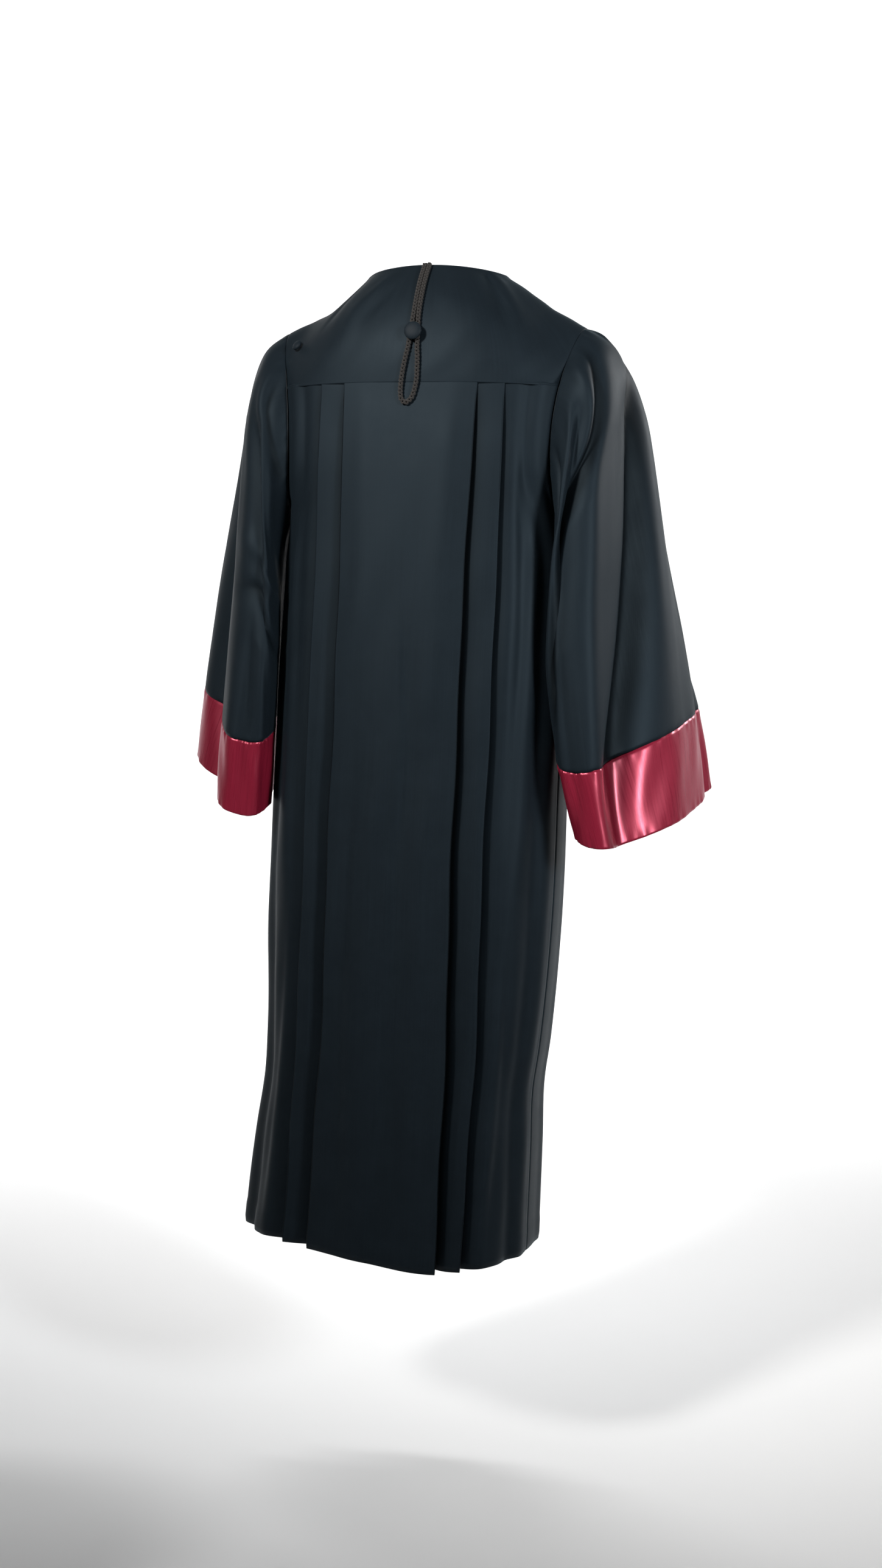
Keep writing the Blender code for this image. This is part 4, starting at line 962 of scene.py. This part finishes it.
def button_surface(radius, thickness, stand, foot, sides=72):
    """Covered button: a profile from shank to crown turned about Z, rippled below by gathers.

    The crown is a quarter of an ellipse; the gathers are a cosine round the rim, strongest where
    the cloth is drawn in under it.
    """
    rim = thickness * 0.42
    under = np.array([(0.0, foot), (SHANK_RADIUS, foot), (SHANK_RADIUS * 0.9, (foot + stand) / 2),
                      (SHANK_RADIUS * 1.2, stand), (radius * 0.55, stand - 0.0001), (radius * 0.86, stand)])
    edge = np.array([(radius * 0.95, stand + rim * 0.22), (radius * 0.985, stand + rim * 0.6)])
    turn = np.linspace(0, math.pi / 2, 18)
    crown = np.stack([radius * np.cos(turn) ** 0.92, stand + rim + (thickness - rim) * np.sin(turn)], -1)
    profile = np.concatenate([under, edge, crown])
    around = np.linspace(0, 2 * math.pi, sides, endpoint=False)
    low = np.exp(-((profile[:, 1] - stand) / (thickness * 0.30)) ** 2) * (profile[:, 0] > SHANK_RADIUS * 1.5)
    gather = 1 + 0.035 * low[:, None] * np.cos(18 * around)[None, :]
    reach = profile[:, 0][:, None] * gather
    return np.stack([reach * np.cos(around), reach * np.sin(around),
                     np.broadcast_to(profile[:, 1][:, None], reach.shape)], -1)


def yoke_place(column_number, share):
    """Point and outward normal of the yoke's left half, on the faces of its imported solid."""
    columns = np.arange(21, dtype=float)
    outer = yoke_outer(columns)
    outer[:, 2] += SEAM_GAP / 2
    inner = yoke_inner(columns)
    edges = [0.0, 0.18, 0.36, 0.55, 0.75, 1.0]
    row = max(i for i, edge in enumerate(edges) if edge <= share)
    grid = yoke_between(inner, outer, edges[row:row + 2])
    part = (share - edges[row]) / (edges[row + 1] - edges[row])
    place = Vector(grid[0, column_number] * (1 - part) + grid[1, column_number] * part)
    down = Vector(grid[1, column_number] - grid[0, column_number])
    if column_number == 0:
        round_neck = Vector((1.0, 0.0, 0.0))
    else:
        round_neck = Vector(grid[0, column_number + 1] - grid[0, column_number - 1])
    return place, round_neck.cross(down).normalized()


# ---------------------------------------------------------------- meshes
def grid_faces(rows, columns, closed):
    """Quads of a grid, and of the strip from its last column to its first where it is closed."""
    r = np.arange(rows - 1)[:, None]
    c = np.arange(columns if closed else columns - 1)[None, :]
    nxt = (c + 1) % columns
    quads = np.stack(np.broadcast_arrays(r * columns + c, r * columns + nxt,
                                         (r + 1) * columns + nxt, (r + 1) * columns + c), -1)
    return quads.reshape(-1, 4)


def fill_mesh(name, points, faces):
    mesh = bpy.data.meshes.new(name)
    mesh.vertices.add(len(points))
    mesh.vertices.foreach_set("co", np.ascontiguousarray(points, dtype=np.float32).ravel())
    mesh.loops.add(faces.size)
    mesh.loops.foreach_set("vertex_index", faces.astype(np.int32).ravel())
    mesh.polygons.add(len(faces))
    mesh.polygons.foreach_set("loop_start", np.arange(0, faces.size, faces.shape[1], dtype=np.int32))
    mesh.polygons.foreach_set("use_smooth", np.ones(len(faces), bool))
    mesh.update(calc_edges=True)
    mesh.validate()
    return mesh


def add_cloth(name, grid, material, sizes, closed=False, flip=False, seam=None):
    """Cloth piece: the grid as quads, its thread map in metres, a wall of the cloth's thickness, and point attributes
    from seam, which carry painted highlight and painted shade.

    Thread map: u is the mean length across the cloth to the column, v the mean length down to the row.
    """
    rows, columns = grid.shape[:2]
    faces = grid_faces(rows, columns, closed)
    if flip:
        faces = faces[:, ::-1]
    mesh = fill_mesh(name, grid.reshape(-1, 3), faces)
    across = np.concatenate([grid, grid[:, :1]], axis=1) if closed else grid
    u = np.concatenate([[0.0], np.cumsum(np.linalg.norm(np.diff(across, axis=1), axis=-1).mean(axis=0))])
    v = np.concatenate([[0.0], np.cumsum(np.linalg.norm(np.diff(grid, axis=0), axis=-1).mean(axis=1))])
    corner = faces.ravel()
    corner_column = corner % columns
    if closed:
        face_last = np.repeat((faces % columns).max(axis=1) == columns - 1, faces.shape[1])
        first_face = np.repeat((faces % columns).min(axis=1) == 0, faces.shape[1])
        corner_column = np.where(face_last & first_face & (corner_column == 0), columns, corner_column)
    uv = mesh.uv_layers.new(name="threads")
    uv.data.foreach_set("uv", np.stack([u[corner_column], v[corner // columns]], -1).astype(np.float32).ravel())
    for key, values in (seam or {}).items():
        layer = mesh.attributes.new(key, "FLOAT", "POINT")
        layer.data.foreach_set("value", np.ascontiguousarray(values, dtype=np.float32).ravel())
    mesh.materials.append(material)
    piece = bpy.data.objects.new(name, mesh)
    gown_collection().objects.link(piece)
    wall = piece.modifiers.new("wall", "SOLIDIFY")
    wall.thickness = sizes.cloth_thickness
    wall.offset = 0.0
    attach(piece, BODY)
    return piece, float(u[-1]), float(v[-1])


def add_solid(name, points, faces, material):
    mesh = fill_mesh(name, points, faces)
    mesh.materials.append(material)
    piece = bpy.data.objects.new(name, mesh)
    gown_collection().objects.link(piece)
    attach(piece, BODY)
    return piece


def gown_collection():
    found = bpy.data.collections.get("gown")
    if found is None:
        found = bpy.data.collections.new("gown")
        bpy.context.scene.collection.children.link(found)
    return found


# ---------------------------------------------------------------- materials
class Wire:
    """A shader number. Arithmetic on it adds Math nodes."""

    def __init__(self, shader, socket):
        self.shader = shader
        self.socket = socket

    def maths(self, operation, first, second=None):
        values = {0: first} if second is None else {0: first, 1: second}
        return self.shader.node("ShaderNodeMath", {"operation": operation}, values)

    def __add__(self, other):
        return self.maths("ADD", self, other)

    def __sub__(self, other):
        return self.maths("SUBTRACT", self, other)

    def __rsub__(self, other):
        return self.maths("SUBTRACT", other, self)

    def __mul__(self, other):
        return self.maths("MULTIPLY", self, other)

    def __pow__(self, other):
        return self.maths("POWER", self, other)

    def sine(self):
        return self.maths("SINE", self)

    __radd__ = __add__
    __rmul__ = __mul__


class Shader:
    """A material's node tree, filled one node at a time."""

    def __init__(self, name, **constants):
        self.material = bpy.data.materials.new(name)
        self.material.use_nodes = True
        self.tree = self.material.node_tree
        self.surface = self.tree.nodes["Principled BSDF"]
        for key, value in constants.items():
            self.surface.inputs[key.replace("_", " ")].default_value = value

    def node(self, kind, settings, values, out=0):
        made = self.tree.nodes.new(kind)
        for key, value in settings.items():
            setattr(made, key, value)
        for key, value in values.items():
            self.join(value, made.inputs[key])
        return Wire(self, made.outputs[out])

    def join(self, value, socket):
        if isinstance(value, Wire):
            self.tree.links.new(value.socket, socket)
        else:
            socket.default_value = value

    def threads(self):
        place = self.node("ShaderNodeUVMap", {"uv_map": "threads"}, {})
        return (self.node("ShaderNodeSeparateXYZ", {}, {0: place}, 0),
                self.node("ShaderNodeSeparateXYZ", {}, {0: place}, 1))

    def vector(self, x, y, z=0.0):
        return self.node("ShaderNodeCombineXYZ", {}, {0: x, 1: y, 2: z})

    def noise(self, vector, scale, detail=3.0, roughness=0.55):
        return self.node("ShaderNodeTexNoise", {}, {"Vector": vector, "Scale": scale, "Detail": detail,
                                                    "Roughness": roughness})

    def blend(self, factor, first, second):
        made = self.tree.nodes.new("ShaderNodeMix")
        made.data_type = "RGBA"
        self.join(factor, made.inputs[0])
        self.join(first, made.inputs[6])
        self.join(second, made.inputs[7])
        return Wire(self, made.outputs[2])

    def attribute(self, name):
        return self.node("ShaderNodeAttribute", {"attribute_name": name}, {}, 2)

    def bump(self, height, distance, strength):
        return self.node("ShaderNodeBump", {}, {"Height": height, "Distance": distance, "Strength": strength})

    def finish(self, colour, roughness, normal):
        self.join(colour, self.surface.inputs["Base Color"])
        self.join(roughness, self.surface.inputs["Roughness"])
        self.join(normal, self.surface.inputs["Normal"])
        return self.material


def shade(colour, share):
    return (colour[0] * share, colour[1] * share, colour[2] * share, 1.0)


def found_material(slot, make):
    """The slot's material, made once. Its own name keeps it apart from the CAD nodes' plain one."""
    name = slot + "_look"
    return bpy.data.materials.get(name) or make(name)


def black_cloth(name):
    """Matt black twill: fine upright ribs, yarn streaks down the cloth, faint nap patches, a painted highlight on
    pressed pleat folds and painted shade in creases and pleat crevices.
    """
    look = bpy.context.scene.gown_looks
    base = tuple(look.cloth_colour)
    shader = Shader(name, Sheen_Weight=0.03, Sheen_Roughness=0.35, Sheen_Tint=(0.50, 0.82, 1.0, 1.0),
                    IOR=1.46, Specular_IOR_Level=0.09, Specular_Tint=(0.66, 0.86, 1.0, 1.0))
    u, v = shader.threads()
    rib = (u * (2 * math.pi / 0.00085) + v * (2 * math.pi / 0.0034)).sine()
    pick = (v * (2 * math.pi / 0.00055)).sine()
    weave = rib * 0.7 + pick * 0.3
    streak = shader.noise(shader.vector(u * 620.0, v * 7.0), 1.0, 2.0)
    nap = shader.noise(shader.vector(u, v), 26.0, 4.0, 0.6)
    slub = shader.noise(shader.vector(u * 90.0, v * 900.0), 1.0, 1.0)
    tone = streak * 0.46 + nap * 0.34 + slub * 0.10 + weave * 0.05
    colour = shader.blend(tone, shade(base, 0.62), shade(base, 1.55))
    # Painted highlight: the colour is lightened along the pressed pleat folds, which also get a lower roughness.
    press = shader.attribute("press")
    colour = shader.blend(press * 0.35, colour, shade(base, 2.3))
    # Painted shade: the hollow attribute darkens the colour in creases and pleat crevices.
    colour = shader.blend(shader.attribute("hollow") * 0.92, colour, shade(base, 0.08))
    roughness = nap * 0.12 + streak * 0.10 + 0.42 - press * 0.06
    height = weave * 0.5 + streak * 0.35 + slub * 0.15
    return shader.finish(colour, roughness, shader.bump(height, 0.00010, 0.35))


def maroon_satin(name):
    """Maroon satin: long floats of thread down the band make fine upright streaks of gloss; the creases get painted
    shade.
    """
    look = bpy.context.scene.gown_looks
    base = tuple(look.satin_colour)
    shader = Shader(name, Metallic=0.32, Sheen_Weight=0.02, Sheen_Roughness=0.30, Sheen_Tint=(1.0, 0.55, 0.65, 1.0),
                    IOR=1.52, Specular_IOR_Level=0.45, Anisotropic=0.40, Specular_Tint=(1.0, 0.62, 0.70, 1.0))
    u, v = shader.threads()
    fine = shader.noise(shader.vector(u * 1500.0, v * 18.0), 1.0, 2.0)
    broad = shader.noise(shader.vector(u * 300.0, v * 9.0), 1.0, 3.0)
    pick = (v * (2 * math.pi / 0.00045)).sine()
    tone = fine * 0.45 + broad * 0.50
    colour = shader.blend(tone, shade(base, 0.66), shade(base, 1.42))
    # Painted shade: the hollow attribute darkens the satin in the creases.
    colour = shader.blend(shader.attribute("hollow") * 0.7, colour, shade(base, 0.30))
    roughness = fine * 0.18 + broad * 0.14 + 0.14
    height = fine * 0.6 + broad * 0.5 + pick * 0.08
    return shader.finish(colour, roughness, shader.bump(height, 0.00010, 0.50))


def dark_braid(name):
    """Dull dark cotton braid: each strand has fine slanting plies and a little lint."""
    look = bpy.context.scene.gown_looks
    base = tuple(look.braid_colour)
    shader = Shader(name, Sheen_Weight=0.12, Sheen_Roughness=0.55, Sheen_Tint=(0.9, 0.86, 0.82, 1.0),
                    IOR=1.45, Specular_IOR_Level=0.12)
    place = shader.node("ShaderNodeTexCoord", {}, {}, 3)
    ply = shader.node("ShaderNodeTexWave", {"bands_direction": "DIAGONAL"},
                      {"Vector": place, "Scale": 700.0, "Distortion": 2.0, "Detail": 2.0}, 1)
    lint = shader.noise(place, 900.0, 3.0)
    colour = shader.blend(ply * 0.5 + lint * 0.5, shade(base, 0.55), shade(base, 1.6))
    return shader.finish(colour, lint * 0.12 + 0.70, shader.bump(ply * 0.6 + lint * 0.4, 0.00012, 0.6))


def button_cloth(name):
    """The gown's cloth drawn over a button, with the weave on the object's own coordinates."""
    look = bpy.context.scene.gown_looks
    base = tuple(look.cloth_colour)
    shader = Shader(name, Sheen_Weight=0.03, Sheen_Roughness=0.40, Sheen_Tint=(0.55, 0.82, 1.0, 1.0),
                    IOR=1.46, Specular_IOR_Level=0.08)
    place = shader.node("ShaderNodeTexCoord", {}, {}, 3)
    x = shader.node("ShaderNodeSeparateXYZ", {}, {0: place}, 0)
    z = shader.node("ShaderNodeSeparateXYZ", {}, {0: place}, 2)
    rib = (x * (2 * math.pi / 0.00085) + z * (2 * math.pi / 0.0030)).sine()
    pick = (z * (2 * math.pi / 0.00055)).sine()
    lint = shader.noise(place, 500.0, 3.0)
    weave = rib * 0.7 + pick * 0.3
    colour = shader.blend(lint * 0.7 + weave * 0.08 + 0.12, shade(base, 0.7), shade(base, 1.7))
    return shader.finish(colour, lint * 0.14 + 0.48, shader.bump(weave * 0.6 + lint * 0.4, 0.00010, 0.4))


def pale_floor(name):
    """Plain studio floor: near-white, with the faintest mottling."""
    shader = Shader(name, Specular_IOR_Level=0.10)
    place = shader.node("ShaderNodeTexCoord", {}, {}, 3)
    mottle = shader.noise(place, 1.5, 2.0)
    colour = shader.blend(mottle, (0.88, 0.88, 0.88, 1.0), (0.93, 0.93, 0.93, 1.0))
    shader.join(colour, shader.surface.inputs["Base Color"])
    shader.join(mottle * 0.05 + 0.85, shader.surface.inputs["Roughness"])
    return shader.material


# ---------------------------------------------------------------- settings
class GownSizes(bpy.types.PropertyGroup):
    cloth_thickness: FloatProperty(name="Cloth thickness", description="Wall of every cloth piece",
                                   default=0.0010, min=0.0004, max=0.003, unit="LENGTH", precision=5)
    hem_turn_up: FloatProperty(name="Hem turn-up", description="Depth of cloth turned up inside the hem",
                               default=0.030, min=0.01, max=0.08, unit="LENGTH", precision=4)
    seam_roll: FloatProperty(name="Seam roll", description="How far an edge turns in at a seam",
                             default=0.0009, min=0.0, max=0.003, unit="LENGTH", precision=5)
    braid_pitch: FloatProperty(name="Braid pitch", description="Length of one turn of a strand",
                               default=0.0092, min=0.004, max=0.03, unit="LENGTH", precision=4)
    strand_radius: FloatProperty(name="Strand radius", description="Radius of one strand of the braid",
                                 default=0.00115, min=0.0003, max=0.002, unit="LENGTH", precision=5)
    back_rows: IntProperty(name="Back rows", description="Rows of points down the back",
                           default=164, min=20, max=400)
    front_rows: IntProperty(name="Front rows", description="Rows of points down a front",
                            default=150, min=20, max=400)
    front_columns: IntProperty(name="Front columns", description="Columns of points across a front",
                               default=90, min=12, max=300)
    yoke_rows: IntProperty(name="Yoke rows", description="Rows of points over the yoke",
                           default=54, min=8, max=200)
    sleeve_columns: IntProperty(name="Sleeve columns", description="Columns of points round a sleeve",
                                default=168, min=32, max=400)


class GownLooks(bpy.types.PropertyGroup):
    cloth_colour: FloatVectorProperty(name="Cloth", description="Base colour of the black cloth",
                                      default=(0.0052, 0.0078, 0.0104), min=0, max=1, subtype="COLOR")
    satin_colour: FloatVectorProperty(name="Satin", description="Base colour of the sleeve bands",
                                      default=(0.165, 0.0070, 0.021), min=0, max=1, subtype="COLOR")
    braid_colour: FloatVectorProperty(name="Braid", description="Base colour of the cord",
                                      default=(0.0150, 0.0134, 0.0128), min=0, max=1, subtype="COLOR")
    key_power: FloatProperty(name="Key light", description="Power of the large soft light at the upper left",
                             default=9.6, min=0, max=2000, unit="POWER")
    fill_power: FloatProperty(name="Fill light", description="Power of the soft light on the right",
                              default=7.0, min=0, max=2000, unit="POWER")
    wash_power: FloatProperty(name="Backdrop light", description="Power of the light on the backdrop",
                              default=520.0, min=0, max=5000, unit="POWER")
    room_light: FloatProperty(name="Room light", description="Strength of the white surroundings",
                              default=0.14, min=0, max=10)


class GownPiece:
    bl_options = {"REGISTER", "UNDO"}


class GOWN_OT_back(GownPiece, bpy.types.Operator):
    """Make the pleated back of the gown"""
    bl_idname = "gown.back"
    bl_label = "Pleated back"

    def execute(self, context):
        sizes = context.scene.gown_sizes
        # The second value is painted shade for the pleats' crevices, stored as the hollow attribute.
        grid, hollow = back_surface(sizes)
        press = pleat_press_and_highlight(grid)
        piece, width, length = add_cloth("back", grid, found_material("black_cloth", black_cloth),
                                         sizes, flip=False, seam={"press": press, "hollow": hollow})
        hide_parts("back_panel")
        return {"FINISHED"}


def pleat_press_and_highlight(grid):
    """How pressed the cloth is, used for a lower roughness and a painted highlight: a bell curve about each fold,
    from how sharply the row turns there.
    """
    step = np.diff(grid, axis=1)
    step /= np.maximum(np.linalg.norm(step, axis=-1, keepdims=True), 1e-12)
    turn = 1 - (step[:, 1:] * step[:, :-1]).sum(axis=-1)
    press = np.zeros(grid.shape[:2])
    press[:, 1:-1] = np.clip(turn * 1.2, 0, 1)
    for _ in range(3):
        press[:, 1:-1] = 0.25 * press[:, :-2] + 0.5 * press[:, 1:-1] + 0.25 * press[:, 2:]
    return np.clip(press * 1.6, 0, 1)


class GOWN_OT_yoke(GownPiece, bpy.types.Operator):
    """Make the yoke over the shoulders"""
    bl_idname = "gown.yoke"
    bl_label = "Yoke"

    def execute(self, context):
        sizes = context.scene.gown_sizes
        grid = yoke_surface(sizes)
        piece, width, length = add_cloth("yoke_cloth", grid, found_material("black_cloth", black_cloth),
                                         sizes)
        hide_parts("yoke")
        return {"FINISHED"}


class GOWN_OT_fronts(GownPiece, bpy.types.Operator):
    """Make the two fronts"""
    bl_idname = "gown.fronts"
    bl_label = "Fronts"

    def execute(self, context):
        sizes = context.scene.gown_sizes
        for word, side in (("left", 1), ("right", -1)):
            grid = front_surface(sizes, side)
            piece, width, length = add_cloth("front_cloth_" + word, grid,
                                             found_material("black_cloth", black_cloth),
                                             sizes, flip=side > 0)
            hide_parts("front_" + word)
        return {"FINISHED"}


class GOWN_OT_sleeves(GownPiece, bpy.types.Operator):
    """Make the two bell sleeves"""
    bl_idname = "gown.sleeves"
    bl_label = "Sleeves"

    def execute(self, context):
        sizes = context.scene.gown_sizes
        share = np.linspace(0, 1, 140)
        along = BAND_STATION * (share - 0.03 * np.sin(2 * math.pi * share) / (2 * math.pi) * 6)
        along = np.clip(along, 0, BAND_STATION)
        for word, side in (("left", 1), ("right", -1)):
            relief = sleeve_relief(sizes, along, sizes.sleeve_columns, side)
            grid = sleeve_surface(along, sizes.sleeve_columns, side, relief)
            # The hollow attribute carries painted shade in the sleeve's creases.
            piece, width, length = add_cloth("sleeve_cloth_" + word, grid,
                                             found_material("black_cloth", black_cloth),
                                             sizes, closed=True, flip=side < 0,
                                             seam={"hollow": sleeve_painted_shade(along, sizes.sleeve_columns, side)})
            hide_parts("sleeve_" + word)
        return {"FINISHED"}


class GOWN_OT_bands(GownPiece, bpy.types.Operator):
    """Make the satin bands at the sleeve ends"""
    bl_idname = "gown.bands"
    bl_label = "Satin bands"

    def execute(self, context):
        sizes = context.scene.gown_sizes
        along = BAND_STATION + (1 - np.cos(np.linspace(0, math.pi, 50))) / 2
        for word, side in (("left", 1), ("right", -1)):
            columns = sizes.sleeve_columns * 2
            relief = band_relief(sizes, along, columns, side)
            grid = sleeve_surface(along, columns, side, relief)
            # The hollow attribute carries painted shade in the band's creases.
            piece, width, length = add_cloth("satin_band_" + word, grid,
                                             found_material("maroon_satin", maroon_satin),
                                             sizes, closed=True, flip=side < 0,
                                             seam={"hollow": sleeve_painted_shade(along, columns, side)})
            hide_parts("cuff_band_" + word)
        return {"FINISHED"}


class GOWN_OT_buttons(GownPiece, bpy.types.Operator):
    """Make the covered buttons on the yoke"""
    bl_idname = "gown.buttons"
    bl_label = "Covered buttons"

    def execute(self, context):
        share = (NECK_RISE - BACK_BUTTON_Z) / (NECK_RISE - YOKE_SEAM_Z)
        place, normal = yoke_place(0, share)
        place.x = BACK_BUTTON_X
        foot = CAD_WALL / 2 + SEAM_GAP
        stand = CAD_WALL / 2 + 4 * SEAM_GAP + 2 * CORD_RADIUS
        small_place, small_normal = yoke_place(SHOULDER_BUTTON_COLUMN, SHOULDER_BUTTON_SHARE)
        rows = [
            ("covered_button_back", "back_button", BACK_BUTTON_RADIUS, BACK_BUTTON_THICKNESS, stand,
             place, normal),
            ("covered_button_shoulder", "shoulder_button_left", SHOULDER_BUTTON_RADIUS,
             SHOULDER_BUTTON_THICKNESS, foot + SHOULDER_BUTTON_LIFT, small_place, small_normal),
        ]
        for name, node, radius, thickness, height, where, direction in rows:
            grid = button_surface(radius, thickness, height, foot)
            turn = np.array(direction.to_track_quat("Z", "Y").to_matrix())
            points = grid.reshape(-1, 3) @ turn.T + np.array(where)
            faces = grid_faces(grid.shape[0], grid.shape[1], True)
            piece = add_solid(name, points, faces, found_material("button_cloth", button_cloth))
            close_poles(piece.data)
            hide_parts(node)
        return {"FINISHED"}


def close_poles(mesh):
    """Merges the rings that shrink to a point and points all faces outwards."""
    import bmesh
    work = bmesh.new()
    work.from_mesh(mesh)
    bmesh.ops.remove_doubles(work, verts=work.verts, dist=1e-6)
    bmesh.ops.recalc_face_normals(work, faces=work.faces)
    work.to_mesh(mesh)
    work.free()


class GOWN_OT_cord(GownPiece, bpy.types.Operator):
    """Make the braided loop down the centre back"""
    bl_idname = "gown.cord"
    bl_label = "Braided loop"

    def execute(self, context):
        sizes = context.scene.gown_sizes
        route = cord_route(0.00065)
        points, faces, start = [], [], 0
        for strand in braid_strands(route, sizes):
            tube = tube_along(strand, sizes.strand_radius, 8)
            ends = np.stack([strand[0], strand[-1]])
            rows, sides = tube.shape[:2]
            points += [tube.reshape(-1, 3), ends]
            side_faces = grid_faces(rows, sides, True)
            c = np.arange(sides)
            nxt = (c + 1) % sides
            first = np.stack([np.full(sides, rows * sides), nxt, c], -1)
            last = np.stack([np.full(sides, rows * sides + 1), (rows - 1) * sides + c, (rows - 1) * sides + nxt], -1)
            triangles = np.concatenate([side_faces[:, [0, 1, 2]], side_faces[:, [0, 2, 3]], first, last])
            faces.append(triangles + start)
            start += rows * sides + 2
        piece = add_solid("braided_loop", np.concatenate(points), np.concatenate(faces),
                          found_material("dark_braid", dark_braid))
        close_poles(piece.data)
        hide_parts("hood_cord")
        path = cord_route(0.005)
        return {"FINISHED"}


class GOWN_OT_stage(GownPiece, bpy.types.Operator):
    """Make the pale floor, the studio light and the camera"""
    bl_idname = "gown.stage"
    bl_label = "Stage, light and camera"

    def execute(self, context):
        looks = context.scene.gown_looks
        add_floor()
        add_lights(looks)
        add_camera()
        context.scene.view_settings.view_transform = "Standard"
        return {"FINISHED"}


def add_floor():
    """Floor and sweep: a flat disc that curves up into a round wall on the side the gown faces."""
    turn = np.linspace(0, math.pi / 2, 12)
    reach = np.concatenate([[0.0, 2.0, 4.0], 6.0 + 2.5 * np.sin(turn), [8.5, 8.5]])
    height = np.concatenate([[0, 0, 0], 2.5 * (1 - np.cos(turn)), [4.5, 7.0]]) + HEM_Z - 0.30
    around = np.linspace(0, 2 * math.pi, 96, endpoint=False)
    raised = rise_between(-0.55, 0.05, -np.sin(around))
    level = HEM_Z - 0.30
    grid = np.stack([reach[:, None] * np.cos(around), reach[:, None] * np.sin(around),
                     level + (height[:, None] - level) * raised[None, :]], -1)
    faces = grid_faces(grid.shape[0], grid.shape[1], True)
    mesh = fill_mesh("floor", grid.reshape(-1, 3), faces)
    mesh.materials.append(found_material("pale_floor", pale_floor))
    floor = bpy.data.objects.new("floor", mesh)
    bpy.context.scene.collection.objects.link(floor)


def add_lights(looks):
    world = bpy.data.worlds.new("studio")
    world.use_nodes = True
    world.node_tree.nodes["Background"].inputs[0].default_value = (1.0, 1.0, 1.0, 1.0)
    world.node_tree.nodes["Background"].inputs[1].default_value = looks.room_light
    bpy.context.scene.world = world
    rows = [
        ("key", (1.10, 2.55, 1.00), (-0.08, 0.10, -0.16), 0.50, 0.80, looks.key_power, (1.0, 0.985, 0.96)),
        ("fill", (-2.3, 1.7, 0.25), (-0.30, 0.0, -0.42), 0.55, 0.80, looks.fill_power, (0.95, 0.98, 1.0)),
        ("front", (-2.4, -2.3, 0.90), (0.0, 0.0, -0.45), 0.80, 1.00, looks.fill_power, (1.0, 1.0, 1.0)),
        ("wash", (1.6, -1.8, 3.2), (2.2, -7.5, 0.0), 3.0, math.pi, looks.wash_power, (1.0, 1.0, 1.0)),
    ]
    for name, place, target, size, spread, power, colour in rows:
        data = bpy.data.lights.new(name, "AREA")
        data.shape = "DISK"
        data.size = size
        data.spread = spread
        data.energy = power
        data.color = colour
        light = bpy.data.objects.new(name, data)
        light.location = place
        light.rotation_euler = (Vector(target) - Vector(place)).to_track_quat("-Z", "Y").to_euler()
        bpy.context.scene.collection.objects.link(light)


def add_camera():
    """Camera at the photograph's place: turned round the gown, pitched down and rolled."""
    turn = math.radians(CAMERA_TURN)
    back = Vector((-math.sin(turn), math.cos(turn), 0.0))
    right = Vector((-math.cos(turn), -math.sin(turn), 0.0))
    pitch = math.radians(CAMERA_PITCH)
    look = -back * math.cos(pitch) + Vector((0, 0, -math.sin(pitch)))
    up = right.cross(look).normalized()
    roll = math.radians(CAMERA_ROLL)
    side = right * math.cos(roll) + up * math.sin(roll)
    top = up * math.cos(roll) - right * math.sin(roll)
    data = bpy.data.cameras.new("camera")
    data.sensor_fit = "VERTICAL"
    data.sensor_height = CAMERA_SENSOR
    data.lens = CAMERA_LENS
    data.clip_start = 0.05
    data.clip_end = 50.0
    camera = bpy.data.objects.new("camera", data)
    place = back * CAMERA_DISTANCE + Vector((0, 0, CAMERA_Z)) + right * CAMERA_SIDE
    camera.matrix_world = Matrix((
        (side.x, top.x, -look.x, place.x),
        (side.y, top.y, -look.y, place.y),
        (side.z, top.z, -look.z, place.z),
        (0, 0, 0, 1),
    ))
    bpy.context.scene.collection.objects.link(camera)
    bpy.context.scene.camera = camera


class GOWN_PT_panel(bpy.types.Panel):
    """Lists the gown's sizes, looks and pieces"""
    bl_idname = "GOWN_PT_panel"
    bl_label = "Graduation gown"
    bl_space_type = "VIEW_3D"
    bl_region_type = "UI"
    bl_category = "Gown"

    def draw(self, context):
        for group in (context.scene.gown_sizes, context.scene.gown_looks):
            box = self.layout.box()
            for key in group.__annotations__:
                box.prop(group, key)
        for operator in PIECE_OPERATORS:
            self.layout.operator(operator.bl_idname)


PIECE_OPERATORS = (GOWN_OT_stage, GOWN_OT_cord, GOWN_OT_back, GOWN_OT_yoke, GOWN_OT_fronts,
                   GOWN_OT_sleeves, GOWN_OT_bands, GOWN_OT_buttons)
CLASSES = (GownSizes, GownLooks) + PIECE_OPERATORS + (GOWN_PT_panel,)


def register():
    for item in CLASSES:
        bpy.utils.register_class(item)
    bpy.types.Scene.gown_sizes = PointerProperty(type=GownSizes)
    bpy.types.Scene.gown_looks = PointerProperty(type=GownLooks)


def unregister():
    del bpy.types.Scene.gown_looks
    del bpy.types.Scene.gown_sizes
    for item in reversed(CLASSES):
        bpy.utils.unregister_class(item)


def main():
    register()
    bpy.ops.gown.stage()
    bpy.ops.gown.cord()
    bpy.ops.gown.back()
    bpy.ops.gown.yoke()
    bpy.ops.gown.fronts()
    bpy.ops.gown.sleeves()
    bpy.ops.gown.bands()
    bpy.ops.gown.buttons()


if __name__ == "__main__":
    main()
